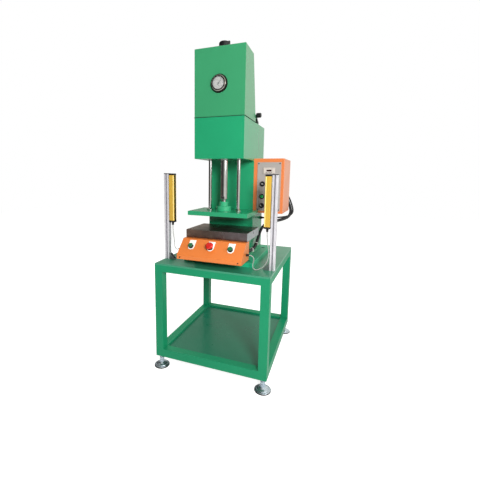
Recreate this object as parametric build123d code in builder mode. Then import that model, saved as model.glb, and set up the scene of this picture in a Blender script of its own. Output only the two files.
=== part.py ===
from build123d import *
from math import atan2, cos, degrees, hypot, pi, radians, sin, tan
import os

os.makedirs("parts", exist_ok=True)

# All sizes are in millimetres. X is to the operator's right, Y goes from front to back, Z is up.
# The origin lies on the floor under the middle of the table.

# Clearances
running_gap = 0.05
seat_gap = 0.1
button_gap = 0.3

# Table
table_width = 700
table_depth = 768
table_height = 668
top_plate_thickness = 10
tube_size = 50
tube_wall = 3
top_rail_height = 40
shelf_thickness = 4
shelf_drop = 12
foot_height = 73
leg_end_plate = 8

# Levelling feet
pad_radius = 45
pad_rim_height = 9
pad_height = 40
pad_neck_radius = 14
stud_radius = 8
stud_socket_depth = 15
stud_reach = 32
nut_across_flats = 26
nut_height = 12

# Welded press frame
base_plate_margin = 68
base_plate_front = 255
base_plate_back = 250
base_plate_thickness = 25
base_bolt_inset = 40
base_bolt_front = 200
base_bolt_back = 180
base_bolt_radius = 7
base_bolt_head_radius = 12
base_bolt_head_height = 14
frame_width = 300
side_plate_thickness = 16
frame_plate = 12
column_front = -20
column_depth = 248
throat_depth = 230
throat_height = 464
throat_corner_radius = 25
base_height = 129
seat_thickness = 16
head_floor_thickness = 20
head_height = 231
motor_shelf_rise = 308
rear_opening_width = 200
rear_opening_height = 380
rear_opening_rise = 168
rear_cover_lap = 15
rear_cover_thickness = 3

# Bolster
bolster_width = 382
bolster_depth = 258
bolster_thickness = 48
bolster_edge = 2
die_hole_radius = 5
die_hole_depth = 30
die_hole_spacing_x = 320
die_hole_spacing_y = 200
lift_hole_radius = 7
lift_hole_depth = 20
lift_hole_share = 0.68

# Ram
ram_axis_y = -150
platen_width = 370
platen_depth = 244
platen_thickness = 25
platen_gap = 85
ram_down_travel = 80
ram_up_travel = 200
hub_flange_radius = 45
hub_flange_height = 28
hub_neck_radius = 27.5
hub_neck_height = 27
hub_bore_radius = 12.5
rod_radius = 22
rod_neck_height = 13
rod_end_edge = 3
rod_flat_width = 38
rod_flat_height = 14
rod_flat_rise = 4
guide_spacing = 182
guide_radius = 10
guide_foot_radius = 18
guide_foot_height = 12
guide_spigot_radius = 8
guide_spare = 60
bush_radius = 16
bush_flange_radius = 24
bush_flange_height = 8
bush_height = 44

# Cylinder
barrel_radius = 50
cylinder_radius = 40
barrel_cap_thickness = 20
piston_length = 45
piston_end_gap = 5
piston_spigot_radius = 12
seal_groove_depth = 3
seal_groove_width = 6
gland_flange_radius = 60
gland_flange_height = 12
gland_body_radius = 45
gland_spigot_height = 12

# Motor and pump
motor_radius = 75
motor_height = 220
motor_flange_radius = 85
motor_flange_height = 12
pump_radius = 45
pump_length = 110

# Upper cover and oil tank
cover_height = 369
cover_wall = 3
cover_bend = 4
cover_top_depth = 156
cover_bottom_depth = 239
tank_rise = 228
tank_height = 120
tank_front_gap = 12
neck_radius = 20
neck_wall = 3
neck_rise = 20
filler_cap_radius = 32
filler_cap_height = 44
filler_cap_wall = 8
filler_cap_lug = 9
filler_cap_lift = 3

# Pressure gauge
gauge_rise = 175
gauge_flange_radius = 49.5
gauge_flange_thickness = 4
gauge_bezel_radius = 46
gauge_lip_radius = 37
gauge_body_radius = 40
gauge_face_radius = 33
gauge_proud = 17
gauge_bezel_slope = 6
gauge_dish_depth = 11
gauge_body_depth = 34
dial_thickness = 1.5
glass_thickness = 2
glass_setback = 1
needle_length = 23
needle_tail = 10
needle_width = 3
needle_thickness = 1
needle_lift = 2
needle_pin_radius = 2
needle_angle = 38

# Hand valve
valve_block_right = 130
valve_block_width = 60
valve_block_depth = 60
valve_block_height = 40
valve_shaft_y = 92
valve_shaft_rise = 14
valve_shaft_radius = 5
valve_shaft_depth = 20
lever_plate_gap = 3
lever_plate_thickness = 8
lever_hub_radius = 10
lever_length = 64
lever_width = 11
lever_lean = 54
grip_radius = 14.5
grip_length = 30
grip_pin_radius = 4
grip_edge = 5

# Console
console_overhang = 3
console_depth = 145
console_top_depth = 59
console_lip_height = 25
console_rise = 46
console_wall = 2
console_bend = 3
console_gap = 1
left_button_inset = 70
right_button_inset = 77
stop_button_shift = -4
button_up_slope = 64
legend_radius = 20
legend_length = 44
legend_thickness = 1
cut_out_radius = 11.5
barrel_outer_radius = 11.2
bezel_radius = 14.5
bezel_height = 5
bezel_cup_height = 12
bezel_barrel_depth = 15
button_radius = 10
button_cap_radius = 12.5
button_cap_rise = 9.5
button_proud = 19
button_depth = 9
stop_plunger_radius = 8
stop_head_radius = 22
stop_head_neck_radius = 13
stop_head_neck_height = 9
stop_head_rise = 12
stop_head_height = 21
stop_head_edge = 9
stop_plunger_reach = 24

# Control box
box_width = 188
box_height = 337
box_rise = 13
box_wall = 2
box_edge = 3
box_seam_inset = 14
box_seam_width = 1.5
box_seam_depth = 0.8
panel_width = 147
panel_height = 300
panel_shift = 3
panel_sag = 4
panel_thickness = 2
panel_lap = 8
counter_width = 72
counter_height = 36
counter_drop = 51
counter_bezel_height = 6
counter_body_inset = 2.5
counter_body_depth = 60
counter_window_width = 40
counter_window_height = 16
counter_window_depth = 1.5
switch_inset = 33
switch_first_drop = 133
switch_second_drop = 211
switch_third_drop = 268
panel_bezel_radius = 16
panel_bezel_height = 4
key_proud = 7
key_slot_width = 2.5
key_slot_length = 12
key_slot_depth = 4
lamp_proud = 9
selector_disc_height = 4
selector_handle_width = 8
selector_handle_length = 18
selector_handle_height = 11
selector_angle = 135

# Light curtain
post_size = 30
post_inset = 2
post_y = -253
post_height = 529
post_corner_radius = 1.5
slot_mouth = 8
slot_inner_width = 11
slot_depth = 9
slot_lip = 2.2
post_bore_radius = 3.4
end_cap_height = 4
bracket_size = 35
bracket_width = 28
bracket_wall = 5
bracket_cheek = 4
curtain_width = 34
curtain_depth = 30
curtain_gap = 4
curtain_length = 277
curtain_cap_height = 10
curtain_top_rise = 3
lens_width = 20
lens_depth = 3
lens_setback = 0.5
spacer_height = 24
spacer_width = 20
spacer_inset = 45

# Screws and cable glands
screw_radius = 3.5
screw_height = 2.5
gland_radius = 14
gland_length = 18
small_gland_radius = 8
small_gland_length = 18
gland_hex_share = 0.4
gland_neck_share = 0.8
conduit_entry_gap = 18
conduit_entry_rise = 31
cable_entry_setback = 88
cable_entry_rise = 41

# Cords
conduit_radius = 10
cable_radius = 2.5

# Heights and faces that follow from the sizes above
rail_top = foot_height + tube_size
top_plate_bottom = table_height - top_plate_thickness
inner_width = table_width - 2 * tube_size
inner_depth = table_depth - 2 * tube_size
leg_x = (table_width - tube_size) / 2
leg_y = (table_depth - tube_size) / 2
base_top = table_height + base_plate_thickness
seat_top = base_top + base_height
bolster_top = seat_top + bolster_thickness
head_bottom = seat_top + throat_height
head_top = head_bottom + head_height
head_floor_top = head_bottom + head_floor_thickness
head_roof_bottom = head_top - frame_plate
cover_top = head_top + cover_height
column_back = column_front + column_depth
head_front = column_front - throat_depth
frame_half = frame_width / 2
base_plate_width = frame_width + 2 * base_plate_margin
base_bolt_x = base_plate_width / 2 - base_bolt_inset
cheek_inner = frame_half - side_plate_thickness
deck_back = column_front + frame_plate
back_plate_front = column_back - frame_plate
motor_shelf_top = base_top + motor_shelf_rise + frame_plate
guide_x = guide_spacing / 2
platen_bottom = bolster_top + platen_gap
platen_top = platen_bottom + platen_thickness
hub_top = platen_top + hub_flange_height + hub_neck_height
gland_top = head_floor_top + gland_flange_height
barrel_floor = gland_top
piston_bottom = gland_top + gland_spigot_height + piston_end_gap + ram_down_travel
piston_top = piston_bottom + piston_length
barrel_inner_top = piston_top + ram_up_travel + piston_end_gap
barrel_top = barrel_inner_top + barrel_cap_thickness
bush_top = head_floor_top + bush_height
guide_top = bush_top + ram_down_travel + guide_spare
gauge_z = head_top + gauge_rise
tank_bottom = head_top + tank_rise
tank_top = tank_bottom + tank_height
filler_y = head_front + cover_top_depth / 2


def save(piece, name):
    piece.label = name
    export_step(piece, f"parts/{name}.step")


# Table frame: square tube, with a welded and tapped plate in each leg's lower end
with BuildPart() as table_legs:
    with BuildSketch(Plane.XY.offset(foot_height)):
        with GridLocations(2 * leg_x, 2 * leg_y, 2, 2):
            Rectangle(tube_size, tube_size)
            Rectangle(tube_size - 2 * tube_wall, tube_size - 2 * tube_wall, mode=Mode.SUBTRACT)
    extrude(amount=top_plate_bottom - foot_height)
    with BuildSketch(Plane.XY.offset(foot_height)):
        with GridLocations(2 * leg_x, 2 * leg_y, 2, 2):
            Rectangle(tube_size - tube_wall, tube_size - tube_wall)
            Circle(stud_radius + running_gap, mode=Mode.SUBTRACT)
    extrude(amount=leg_end_plate)
save(table_legs.part, "table_legs")


def rails(height, centre_z):
    """Four hollow rails between the legs, centred on one height."""
    with BuildPart() as ring:
        with BuildSketch(Plane.YZ.offset(-inner_width / 2)):
            with Locations((-leg_y, centre_z), (leg_y, centre_z)):
                Rectangle(tube_size, height)
                Rectangle(tube_size - 2 * tube_wall, height - 2 * tube_wall, mode=Mode.SUBTRACT)
        extrude(amount=inner_width)
        with BuildSketch(Plane.XZ.offset(-inner_depth / 2)):
            with Locations((-leg_x, centre_z), (leg_x, centre_z)):
                Rectangle(tube_size, height)
                Rectangle(tube_size - 2 * tube_wall, height - 2 * tube_wall, mode=Mode.SUBTRACT)
        extrude(amount=inner_depth)
    return ring.part


save(rails(top_rail_height, top_plate_bottom - top_rail_height / 2), "top_rails")
save(rails(tube_size, foot_height + tube_size / 2), "bottom_rails")

with BuildPart() as table_top:
    with BuildSketch(Plane.XY.offset(top_plate_bottom)):
        Rectangle(table_width, table_depth)
    extrude(amount=top_plate_thickness)
save(table_top.part, "table_top")

with BuildPart() as shelf_plate:
    with BuildSketch(Plane.XY.offset(rail_top - shelf_drop - shelf_thickness)):
        Rectangle(inner_width, inner_depth)
    extrude(amount=shelf_thickness)
save(shelf_plate.part, "shelf_plate")

# Levelling feet: a turned pad with a blind socket, a threaded stud and a lock nut under the leg
leg_corners = {
    "front_left": (-leg_x, -leg_y),
    "front_right": (leg_x, -leg_y),
    "back_left": (-leg_x, leg_y),
    "back_right": (leg_x, leg_y),
}
for corner, (foot_x, foot_y) in leg_corners.items():
    foot_plane = Plane(origin=(foot_x, foot_y, 0), x_dir=(1, 0, 0), z_dir=(0, -1, 0))
    foot_axis = Axis((foot_x, foot_y, 0), (0, 0, 1))
    stud_bottom = pad_height - stud_socket_depth
    with BuildPart() as foot:
        with BuildSketch(foot_plane):
            with BuildLine():
                Polyline(
                    (0, 0),
                    (pad_radius - 2, 0),
                    (pad_radius, 2),
                    (pad_radius, pad_rim_height - 3),
                    (pad_radius - 3, pad_rim_height),
                    (pad_radius * 0.8, pad_rim_height + 1),
                    (pad_radius * 0.76, pad_rim_height + 4),
                    (pad_neck_radius + 8, pad_rim_height + 9),
                    (pad_neck_radius, pad_rim_height + 16),
                    (pad_neck_radius, pad_height),
                    (stud_radius + seat_gap, pad_height),
                    (stud_radius + seat_gap, stud_bottom),
                    (0, stud_bottom),
                    close=True,
                )
            make_face()
        revolve(axis=foot_axis)
    with BuildPart() as stud:
        with BuildSketch(Plane(origin=(foot_x, foot_y, stud_bottom))):
            Circle(stud_radius)
        extrude(amount=foot_height + stud_reach - stud_bottom)
        chamfer(stud.edges().sort_by(Axis.Z)[-1], 1)
    save(Part(children=[foot.part.solid(), stud.part.solid()]), f"foot_{corner}")

with BuildPart() as foot_nuts:
    with BuildSketch(Plane.XY.offset(foot_height - nut_height)):
        with GridLocations(2 * leg_x, 2 * leg_y, 2, 2):
            RegularPolygon(nut_across_flats / 2, 6, major_radius=False)
            Circle(stud_radius + running_gap, mode=Mode.SUBTRACT)
    extrude(amount=nut_height)
save(foot_nuts.part, "foot_nuts")

# Base plate and its four socket screws in counterbored holes
base_bolt_places = [
    (side * base_bolt_x, y, base_top) for side in (-1, 1) for y in (-base_bolt_front, base_bolt_back)
]
with BuildPart() as base_plate:
    with BuildSketch(Plane.XY.offset(table_height)):
        with Locations((0, (base_plate_back - base_plate_front) / 2)):
            Rectangle(base_plate_width, base_plate_front + base_plate_back)
    extrude(amount=base_plate_thickness)
    chamfer(base_plate.faces().sort_by(Axis.Z)[-1].edges(), 2)
    with Locations(*base_bolt_places):
        CounterBoreHole(
            radius=base_bolt_radius + seat_gap,
            counter_bore_radius=base_bolt_head_radius + 1,
            counter_bore_depth=base_bolt_head_height + 1,
        )
save(base_plate.part, "base_plate")

with BuildPart() as base_bolts:
    for bolt_x, bolt_y, plate_top in base_bolt_places:
        head_seat = plate_top - base_bolt_head_height - 1
        with BuildSketch(Plane(origin=(bolt_x, bolt_y, table_height))):
            Circle(base_bolt_radius)
        extrude(amount=head_seat - table_height)
        with BuildSketch(Plane(origin=(bolt_x, bolt_y, head_seat))):
            Circle(base_bolt_head_radius)
        extrude(amount=base_bolt_head_height)
        with BuildSketch(Plane(origin=(bolt_x, bolt_y, head_seat + base_bolt_head_height))):
            RegularPolygon(base_bolt_radius, 6)
        extrude(amount=-base_bolt_head_height / 2, mode=Mode.SUBTRACT)
save(base_bolts.part, "base_bolts")

# C-shaped side plates, one on each side of the throat
with BuildPart() as frame_side_plates:
    for plate_x in (-frame_half, cheek_inner):
        with BuildSketch(Plane.YZ.offset(plate_x)) as side_outline:
            with BuildLine():
                Polyline(
                    (head_front, base_top),
                    (column_back, base_top),
                    (column_back, head_top),
                    (head_front, head_top),
                    (head_front, head_bottom),
                    (column_front, head_bottom),
                    (column_front, seat_top),
                    (head_front, seat_top),
                    close=True,
                )
            make_face()
            upper_corner = side_outline.vertices().filter_by_position(Axis.X, column_front, column_front)
            fillet(upper_corner.sort_by(Axis.Y)[-1], throat_corner_radius)
        extrude(amount=side_plate_thickness)
save(frame_side_plates.part, "frame_side_plates")

# Front plates of the base, the column and the head, between the side plates
with BuildPart() as frame_front_plates:
    with BuildSketch(Plane.XZ.offset(-head_front)):
        with Locations((0, (base_top + seat_top - seat_thickness) / 2)):
            Rectangle(2 * cheek_inner, base_height - seat_thickness)
        with Locations((0, (head_floor_top + head_top) / 2)):
            Rectangle(2 * cheek_inner, head_top - head_floor_top)
    extrude(amount=-frame_plate)
    with BuildSketch(Plane.XZ.offset(-column_front)):
        with Locations((0, (seat_top + head_bottom) / 2)):
            Rectangle(2 * cheek_inner, throat_height)
    extrude(amount=-frame_plate)
save(frame_front_plates.part, "frame_front_plates")

# Cross plates: bolster seat, motor shelf, head floor and head roof
with BuildPart() as frame_cross_plates:
    for deck_bottom, deck_thickness in (
        (seat_top - seat_thickness, seat_thickness),
        (head_bottom, head_floor_thickness),
    ):
        with BuildSketch(Plane.XY.offset(deck_bottom)):
            with Locations((0, (head_front + deck_back) / 2)):
                Rectangle(2 * cheek_inner, deck_back - head_front)
        extrude(amount=deck_thickness)
    with BuildSketch(Plane.XY.offset(head_roof_bottom)):
        with Locations((0, (head_front + frame_plate + back_plate_front) / 2)):
            Rectangle(2 * cheek_inner, back_plate_front - head_front - frame_plate)
    extrude(amount=frame_plate)
    with BuildSketch(Plane.XY.offset(motor_shelf_top - frame_plate)):
        with Locations((0, (deck_back + back_plate_front) / 2)):
            Rectangle(2 * cheek_inner, back_plate_front - deck_back)
            Circle(pump_radius + 1, mode=Mode.SUBTRACT)
    extrude(amount=frame_plate)
    with BuildSketch(Plane.XY.offset(head_bottom)):
        with Locations((0, ram_axis_y)):
            Circle(gland_body_radius + seat_gap)
        with Locations((-guide_x, ram_axis_y), (guide_x, ram_axis_y)):
            Circle(bush_radius + seat_gap)
    extrude(amount=head_floor_thickness, mode=Mode.SUBTRACT)
    with BuildSketch(Plane.XY.offset(head_roof_bottom)):
        with Locations((0, ram_axis_y)):
            Circle(barrel_radius + seat_gap)
        with Locations((-guide_x, ram_axis_y), (guide_x, ram_axis_y)):
            Circle(guide_radius + 4)
    extrude(amount=frame_plate, mode=Mode.SUBTRACT)
save(frame_cross_plates.part, "frame_cross_plates")

# Back plate with an access opening, and the sheet cover bolted over it
rear_opening_centre = base_top + rear_opening_rise + rear_opening_height / 2
with BuildPart() as frame_back_plate:
    with BuildSketch(Plane.XZ.offset(-column_back)) as back_outline:
        with Locations((0, (base_top + head_top) / 2)):
            Rectangle(2 * cheek_inner, head_top - base_top)
        with Locations((0, rear_opening_centre)):
            RectangleRounded(rear_opening_width, rear_opening_height, 12, mode=Mode.SUBTRACT)
    extrude(amount=frame_plate)
save(frame_back_plate.part, "frame_back_plate")

rear_cover_width = rear_opening_width + 2 * rear_cover_lap
rear_cover_height = rear_opening_height + 2 * rear_cover_lap
with BuildPart() as rear_cover:
    with BuildSketch(Plane.XZ.offset(-column_back)):
        with Locations((0, rear_opening_centre)):
            RectangleRounded(rear_cover_width, rear_cover_height, 8)
    extrude(amount=-rear_cover_thickness)
save(rear_cover.part, "rear_cover")

# Bolster: a ground block with tapped die holes and a lifting hole in each side
bolster_front = column_front - bolster_depth
bolster_middle = (bolster_front + column_front) / 2
with BuildPart() as bolster:
    with BuildSketch(Plane.XY.offset(seat_top)):
        with Locations((0, bolster_middle)):
            Rectangle(bolster_width, bolster_depth)
    extrude(amount=bolster_thickness)
    chamfer(bolster.faces().sort_by(Axis.Z)[-1].edges(), bolster_edge)
    with BuildSketch(Plane.XY.offset(bolster_top)):
        with Locations((0, bolster_middle)):
            with GridLocations(die_hole_spacing_x, die_hole_spacing_y, 2, 2):
                Circle(die_hole_radius)
    extrude(amount=-die_hole_depth, mode=Mode.SUBTRACT)
    for side_x, inward in ((-bolster_width / 2, 1), (bolster_width / 2, -1)):
        with BuildSketch(Plane.YZ.offset(side_x)):
            with Locations((bolster_middle, seat_top + bolster_thickness * lift_hole_share)):
                Circle(lift_hole_radius)
        extrude(amount=inward * lift_hole_depth, mode=Mode.SUBTRACT)
save(bolster.part, "bolster")

# Ram: platen, hub, piston rod with a spigot through the piston, and guide rods with flanged feet
with BuildPart() as platen:
    with BuildSketch(Plane.XY.offset(platen_bottom)):
        with Locations((0, ram_axis_y)):
            Rectangle(platen_width, platen_depth)
        with Locations((-guide_x, ram_axis_y), (guide_x, ram_axis_y)):
            Circle(guide_spigot_radius + seat_gap, mode=Mode.SUBTRACT)
    extrude(amount=platen_thickness)
    chamfer(platen.faces().sort_by(Axis.Z)[-1].edges().filter_by(GeomType.LINE), 1.5)
save(platen.part, "platen")

ram_axis = Axis((0, ram_axis_y, 0), (0, 0, 1))
ram_plane = Plane(origin=(0, ram_axis_y, 0), x_dir=(1, 0, 0), z_dir=(0, -1, 0))
with BuildPart() as ram_hub:
    with BuildSketch(ram_plane) as hub_profile:
        with BuildLine():
            Polyline(
                (hub_bore_radius + seat_gap, platen_top),
                (hub_flange_radius, platen_top),
                (hub_flange_radius, platen_top + hub_flange_height),
                (hub_neck_radius, platen_top + hub_flange_height),
                (hub_neck_radius, hub_top),
                (hub_bore_radius + seat_gap, hub_top),
                close=True,
            )
        make_face()
        fillet(hub_profile.vertices().group_by(Axis.X)[-1].sort_by(Axis.Y)[-1], 3)
        fillet(hub_profile.vertices().filter_by_position(Axis.X, hub_neck_radius, hub_neck_radius), 3)
    revolve(axis=ram_axis)
save(ram_hub.part, "ram_hub")

with BuildPart() as piston_rod:
    with BuildSketch(ram_plane):
        with BuildLine():
            Polyline(
                (0, platen_top),
                (hub_bore_radius, platen_top),
                (hub_bore_radius, hub_top + rod_neck_height),
                (rod_radius - rod_end_edge, hub_top + rod_neck_height),
                (rod_radius, hub_top + rod_neck_height + rod_end_edge),
                (rod_radius, piston_bottom),
                (piston_spigot_radius, piston_bottom),
                (piston_spigot_radius, piston_top),
                (0, piston_top),
                close=True,
            )
        make_face()
    revolve(axis=ram_axis)
    with BuildSketch(Plane.XY.offset(hub_top + rod_neck_height + rod_flat_rise)):
        with Locations((0, ram_axis_y)):
            Circle(rod_radius + 1)
            Rectangle(2 * rod_radius + 4, rod_flat_width, mode=Mode.SUBTRACT)
    extrude(amount=rod_flat_height, mode=Mode.SUBTRACT)
save(piston_rod.part, "piston_rod")

piston_outer = cylinder_radius - running_gap
with BuildPart() as piston:
    with BuildSketch(ram_plane):
        with Locations(((piston_outer + piston_spigot_radius + seat_gap) / 2, (piston_bottom + piston_top) / 2)):
            Rectangle(piston_outer - piston_spigot_radius - seat_gap, piston_length)
        with Locations((piston_outer, piston_bottom + piston_length * 0.3)):
            with Locations((0, 0), (0, piston_length * 0.4)):
                Rectangle(2 * seal_groove_depth, seal_groove_width, mode=Mode.SUBTRACT)
    revolve(axis=ram_axis)
save(piston.part, "piston")

with BuildPart() as guide_rods:
    for rod_x in (-guide_x, guide_x):
        rod_plane = Plane(origin=(rod_x, ram_axis_y, 0), x_dir=(1, 0, 0), z_dir=(0, -1, 0))
        with BuildSketch(rod_plane) as rod_profile:
            with BuildLine():
                Polyline(
                    (0, platen_bottom + 2),
                    (guide_spigot_radius, platen_bottom + 2),
                    (guide_spigot_radius, platen_top),
                    (guide_foot_radius, platen_top),
                    (guide_foot_radius, platen_top + guide_foot_height / 2),
                    (guide_radius, platen_top + guide_foot_height),
                    (guide_radius, guide_top - 2),
                    (guide_radius - 2, guide_top),
                    (0, guide_top),
                    close=True,
                )
            make_face()
        revolve(axis=Axis((rod_x, ram_axis_y, 0), (0, 0, 1)))
save(guide_rods.part, "guide_rods")

# Cylinder: gland and bushes in the head floor, barrel with a welded end cap
with BuildPart() as rod_gland:
    with BuildSketch(ram_plane):
        with BuildLine():
            Polyline(
                (rod_radius + running_gap, head_bottom),
                (gland_body_radius, head_bottom),
                (gland_body_radius, head_floor_top),
                (gland_flange_radius, head_floor_top),
                (gland_flange_radius, gland_top),
                (cylinder_radius - seat_gap, gland_top),
                (cylinder_radius - seat_gap, gland_top + gland_spigot_height),
                (rod_radius + running_gap, gland_top + gland_spigot_height),
                close=True,
            )
        make_face()
    revolve(axis=ram_axis)
save(rod_gland.part, "rod_gland")

with BuildPart() as guide_bushes:
    with BuildSketch(Plane.XY.offset(head_bottom)):
        with Locations((-guide_x, ram_axis_y), (guide_x, ram_axis_y)):
            Circle(bush_radius)
    extrude(amount=bush_top - head_bottom)
    with BuildSketch(Plane.XY.offset(head_floor_top)):
        with Locations((-guide_x, ram_axis_y), (guide_x, ram_axis_y)):
            Circle(bush_flange_radius)
    extrude(amount=bush_flange_height)
    with BuildSketch(Plane.XY.offset(head_bottom)):
        with Locations((-guide_x, ram_axis_y), (guide_x, ram_axis_y)):
            Circle(guide_radius + running_gap)
    extrude(amount=bush_top - head_bottom, mode=Mode.SUBTRACT)
save(guide_bushes.part, "guide_bushes")

with BuildPart() as cylinder_barrel:
    with BuildSketch(Plane.XY.offset(barrel_floor)):
        with Locations((0, ram_axis_y)):
            Circle(barrel_radius)
    extrude(amount=barrel_top - barrel_floor)
    with BuildSketch(Plane.XY.offset(barrel_floor)):
        with Locations((0, ram_axis_y)):
            Circle(cylinder_radius)
    extrude(amount=barrel_inner_top - barrel_floor, mode=Mode.SUBTRACT)
    chamfer(cylinder_barrel.edges().sort_by(Axis.Z)[-1], 2)
save(cylinder_barrel.part, "cylinder_barrel")

# Motor standing on its shelf in the column, with the gear pump hanging below
motor_y = (deck_back + back_plate_front) / 2
with BuildPart() as pump_motor:
    with BuildSketch(Plane(origin=(0, motor_y, motor_shelf_top))):
        Circle(motor_flange_radius)
    extrude(amount=motor_flange_height)
    with BuildSketch(Plane(origin=(0, motor_y, motor_shelf_top))):
        Circle(motor_radius)
    extrude(amount=motor_height)
    fillet(pump_motor.edges().sort_by(Axis.Z)[-1], 8)
    with BuildSketch(Plane(origin=(0, motor_y, motor_shelf_top))):
        Circle(pump_radius)
    extrude(amount=-pump_length)
save(pump_motor.part, "pump_motor")

# Upper cover: a folded sheet hood with a leaning back, open at the bottom
with BuildPart() as upper_cover:
    with BuildSketch(Plane.YZ.offset(-frame_half)):
        with BuildLine():
            Polyline(
                (head_front, head_top),
                (head_front + cover_bottom_depth, head_top),
                (head_front + cover_top_depth, cover_top),
                (head_front, cover_top),
                close=True,
            )
        make_face()
    extrude(amount=frame_width)
    fillet(upper_cover.faces().sort_by(Axis.Z)[-1].edges(), cover_bend)
    offset(amount=-cover_wall, openings=upper_cover.faces().sort_by(Axis.Z)[0])
    with BuildSketch(Plane.XZ.offset(-head_front)):
        with Locations((0, gauge_z)):
            Circle(gauge_body_radius + seat_gap)
    extrude(amount=-2 * cover_wall, mode=Mode.SUBTRACT)
    with BuildSketch(Plane(origin=(0, filler_y, cover_top))):
        Circle(neck_radius + seat_gap)
    extrude(amount=-2 * cover_wall, mode=Mode.SUBTRACT)
save(upper_cover.part, "upper_cover")

# Oil tank welded between the cover's sides, its neck standing out through the top
tank_half = frame_half - cover_wall
tank_front = head_front + cover_wall + tank_front_gap
tank_back = filler_y + cover_top_depth / 2 - cover_wall - tank_front_gap
with BuildPart() as oil_tank:
    with BuildSketch(Plane.XY.offset(tank_bottom)):
        with Locations((0, (tank_front + tank_back) / 2)):
            Rectangle(2 * tank_half, tank_back - tank_front)
    extrude(amount=tank_height)
    with BuildSketch(Plane.XY.offset(tank_bottom + cover_wall)):
        with Locations((0, (tank_front + tank_back) / 2)):
            Rectangle(2 * (tank_half - cover_wall), tank_back - tank_front - 2 * cover_wall)
    extrude(amount=tank_height - 2 * cover_wall, mode=Mode.SUBTRACT)
    with BuildSketch(Plane(origin=(0, filler_y, tank_top))):
        Circle(neck_radius)
    extrude(amount=cover_top + neck_rise - tank_top)
    with BuildSketch(Plane(origin=(0, filler_y, cover_top + neck_rise))):
        Circle(neck_radius - neck_wall)
    extrude(amount=-(cover_top + neck_rise - tank_top + 2 * cover_wall), mode=Mode.SUBTRACT)
save(oil_tank.part, "oil_tank")

cap_bottom = cover_top + filler_cap_lift
cap_top = cap_bottom + filler_cap_height
with BuildPart() as filler_cap:
    with BuildSketch(Plane(origin=(0, filler_y, cap_bottom))):
        Circle(filler_cap_radius)
    extrude(amount=filler_cap_height)
    fillet(filler_cap.edges().sort_by(Axis.Z)[-1], 10)
    with BuildSketch(Plane(origin=(0, filler_y, cap_bottom))):
        Circle(neck_radius + seat_gap)
    extrude(amount=neck_rise - filler_cap_lift, mode=Mode.SUBTRACT)
    with BuildSketch(Plane(origin=(0, filler_y, cap_bottom))):
        with PolarLocations(filler_cap_radius, 18):
            Circle(1.6)
    extrude(amount=filler_cap_height / 2, mode=Mode.SUBTRACT)
    with BuildSketch(Plane(origin=(0, filler_y, cap_top - filler_cap_lug))):
        with Locations((filler_cap_radius - filler_cap_lug, 0)):
            Rectangle(2 * filler_cap_lug, filler_cap_lug)
    extrude(amount=filler_cap_lug + filler_cap_lift)
save(filler_cap.part, "filler_cap")

# Pressure gauge, turned about an axis that points to the operator
gauge_front = head_front - gauge_proud
gauge_floor = gauge_front + gauge_dish_depth
gauge_axis = Axis((0, 0, gauge_z), (0, 1, 0))
with BuildPart() as gauge_case:
    with BuildSketch(Plane.YZ) as case_profile:
        with BuildLine():
            Polyline(
                (gauge_front, gauge_z + gauge_face_radius),
                (gauge_front, gauge_z + gauge_lip_radius),
                (gauge_front + gauge_bezel_slope, gauge_z + gauge_bezel_radius),
                (head_front - gauge_flange_thickness, gauge_z + gauge_bezel_radius),
                (head_front - gauge_flange_thickness, gauge_z + gauge_flange_radius),
                (head_front, gauge_z + gauge_flange_radius),
                (head_front, gauge_z + gauge_body_radius),
                (gauge_front + gauge_body_depth + gauge_proud, gauge_z + gauge_body_radius),
                (gauge_front + gauge_body_depth + gauge_proud, gauge_z),
                (gauge_floor, gauge_z),
                (gauge_floor, gauge_z + gauge_face_radius),
                close=True,
            )
        make_face()
    revolve(axis=gauge_axis)
    with BuildSketch(Plane(origin=(0, gauge_floor, gauge_z), x_dir=(1, 0, 0), z_dir=(0, -1, 0))):
        Circle(needle_pin_radius + running_gap)
    extrude(amount=-6, mode=Mode.SUBTRACT)
save(gauge_case.part, "gauge_case")

gauge_floor_plane = Plane(origin=(0, gauge_floor, gauge_z), x_dir=(1, 0, 0), z_dir=(0, -1, 0))
with BuildPart() as gauge_dial:
    with BuildSketch(gauge_floor_plane):
        Circle(gauge_face_radius - seat_gap)
        Circle(needle_pin_radius + running_gap, mode=Mode.SUBTRACT)
    extrude(amount=dial_thickness)
save(gauge_dial.part, "gauge_dial")

with BuildPart() as gauge_glass:
    with BuildSketch(gauge_floor_plane.offset(gauge_dish_depth - glass_setback - glass_thickness)):
        Circle(gauge_face_radius - seat_gap)
    extrude(amount=glass_thickness)
save(gauge_glass.part, "gauge_glass")

with BuildPart() as gauge_needle:
    with BuildSketch(gauge_floor_plane.offset(dial_thickness + needle_lift)):
        Circle(3 * needle_pin_radius)
        with BuildLine(Plane.XY.rotated((0, 0, -needle_angle))):
            Polyline(
                (-needle_width, -needle_tail),
                (needle_width, -needle_tail),
                (needle_width / 4, needle_length),
                (-needle_width / 4, needle_length),
                close=True,
            )
        make_face()
    extrude(amount=needle_thickness)
    with BuildSketch(gauge_floor_plane.offset(-5)):
        Circle(needle_pin_radius)
    extrude(amount=5 + dial_thickness + needle_lift)
save(gauge_needle.part, "gauge_needle")

# Hand valve on the head roof behind the cover, with a cranked lever
valve_shaft_z = head_top + valve_shaft_rise
with BuildPart() as valve_block:
    with BuildSketch(Plane.XY.offset(head_top)):
        with Locations((valve_block_right - valve_block_width / 2, valve_shaft_y)):
            Rectangle(valve_block_width, valve_block_depth)
    extrude(amount=valve_block_height)
    chamfer(valve_block.edges().filter_by(Axis.Z), 3)
    with BuildSketch(Plane.YZ.offset(valve_block_right)):
        with Locations((valve_shaft_y, valve_shaft_z)):
            Circle(valve_shaft_radius + running_gap)
    extrude(amount=-valve_shaft_depth - 1, mode=Mode.SUBTRACT)
save(valve_block.part, "valve_block")

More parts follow.
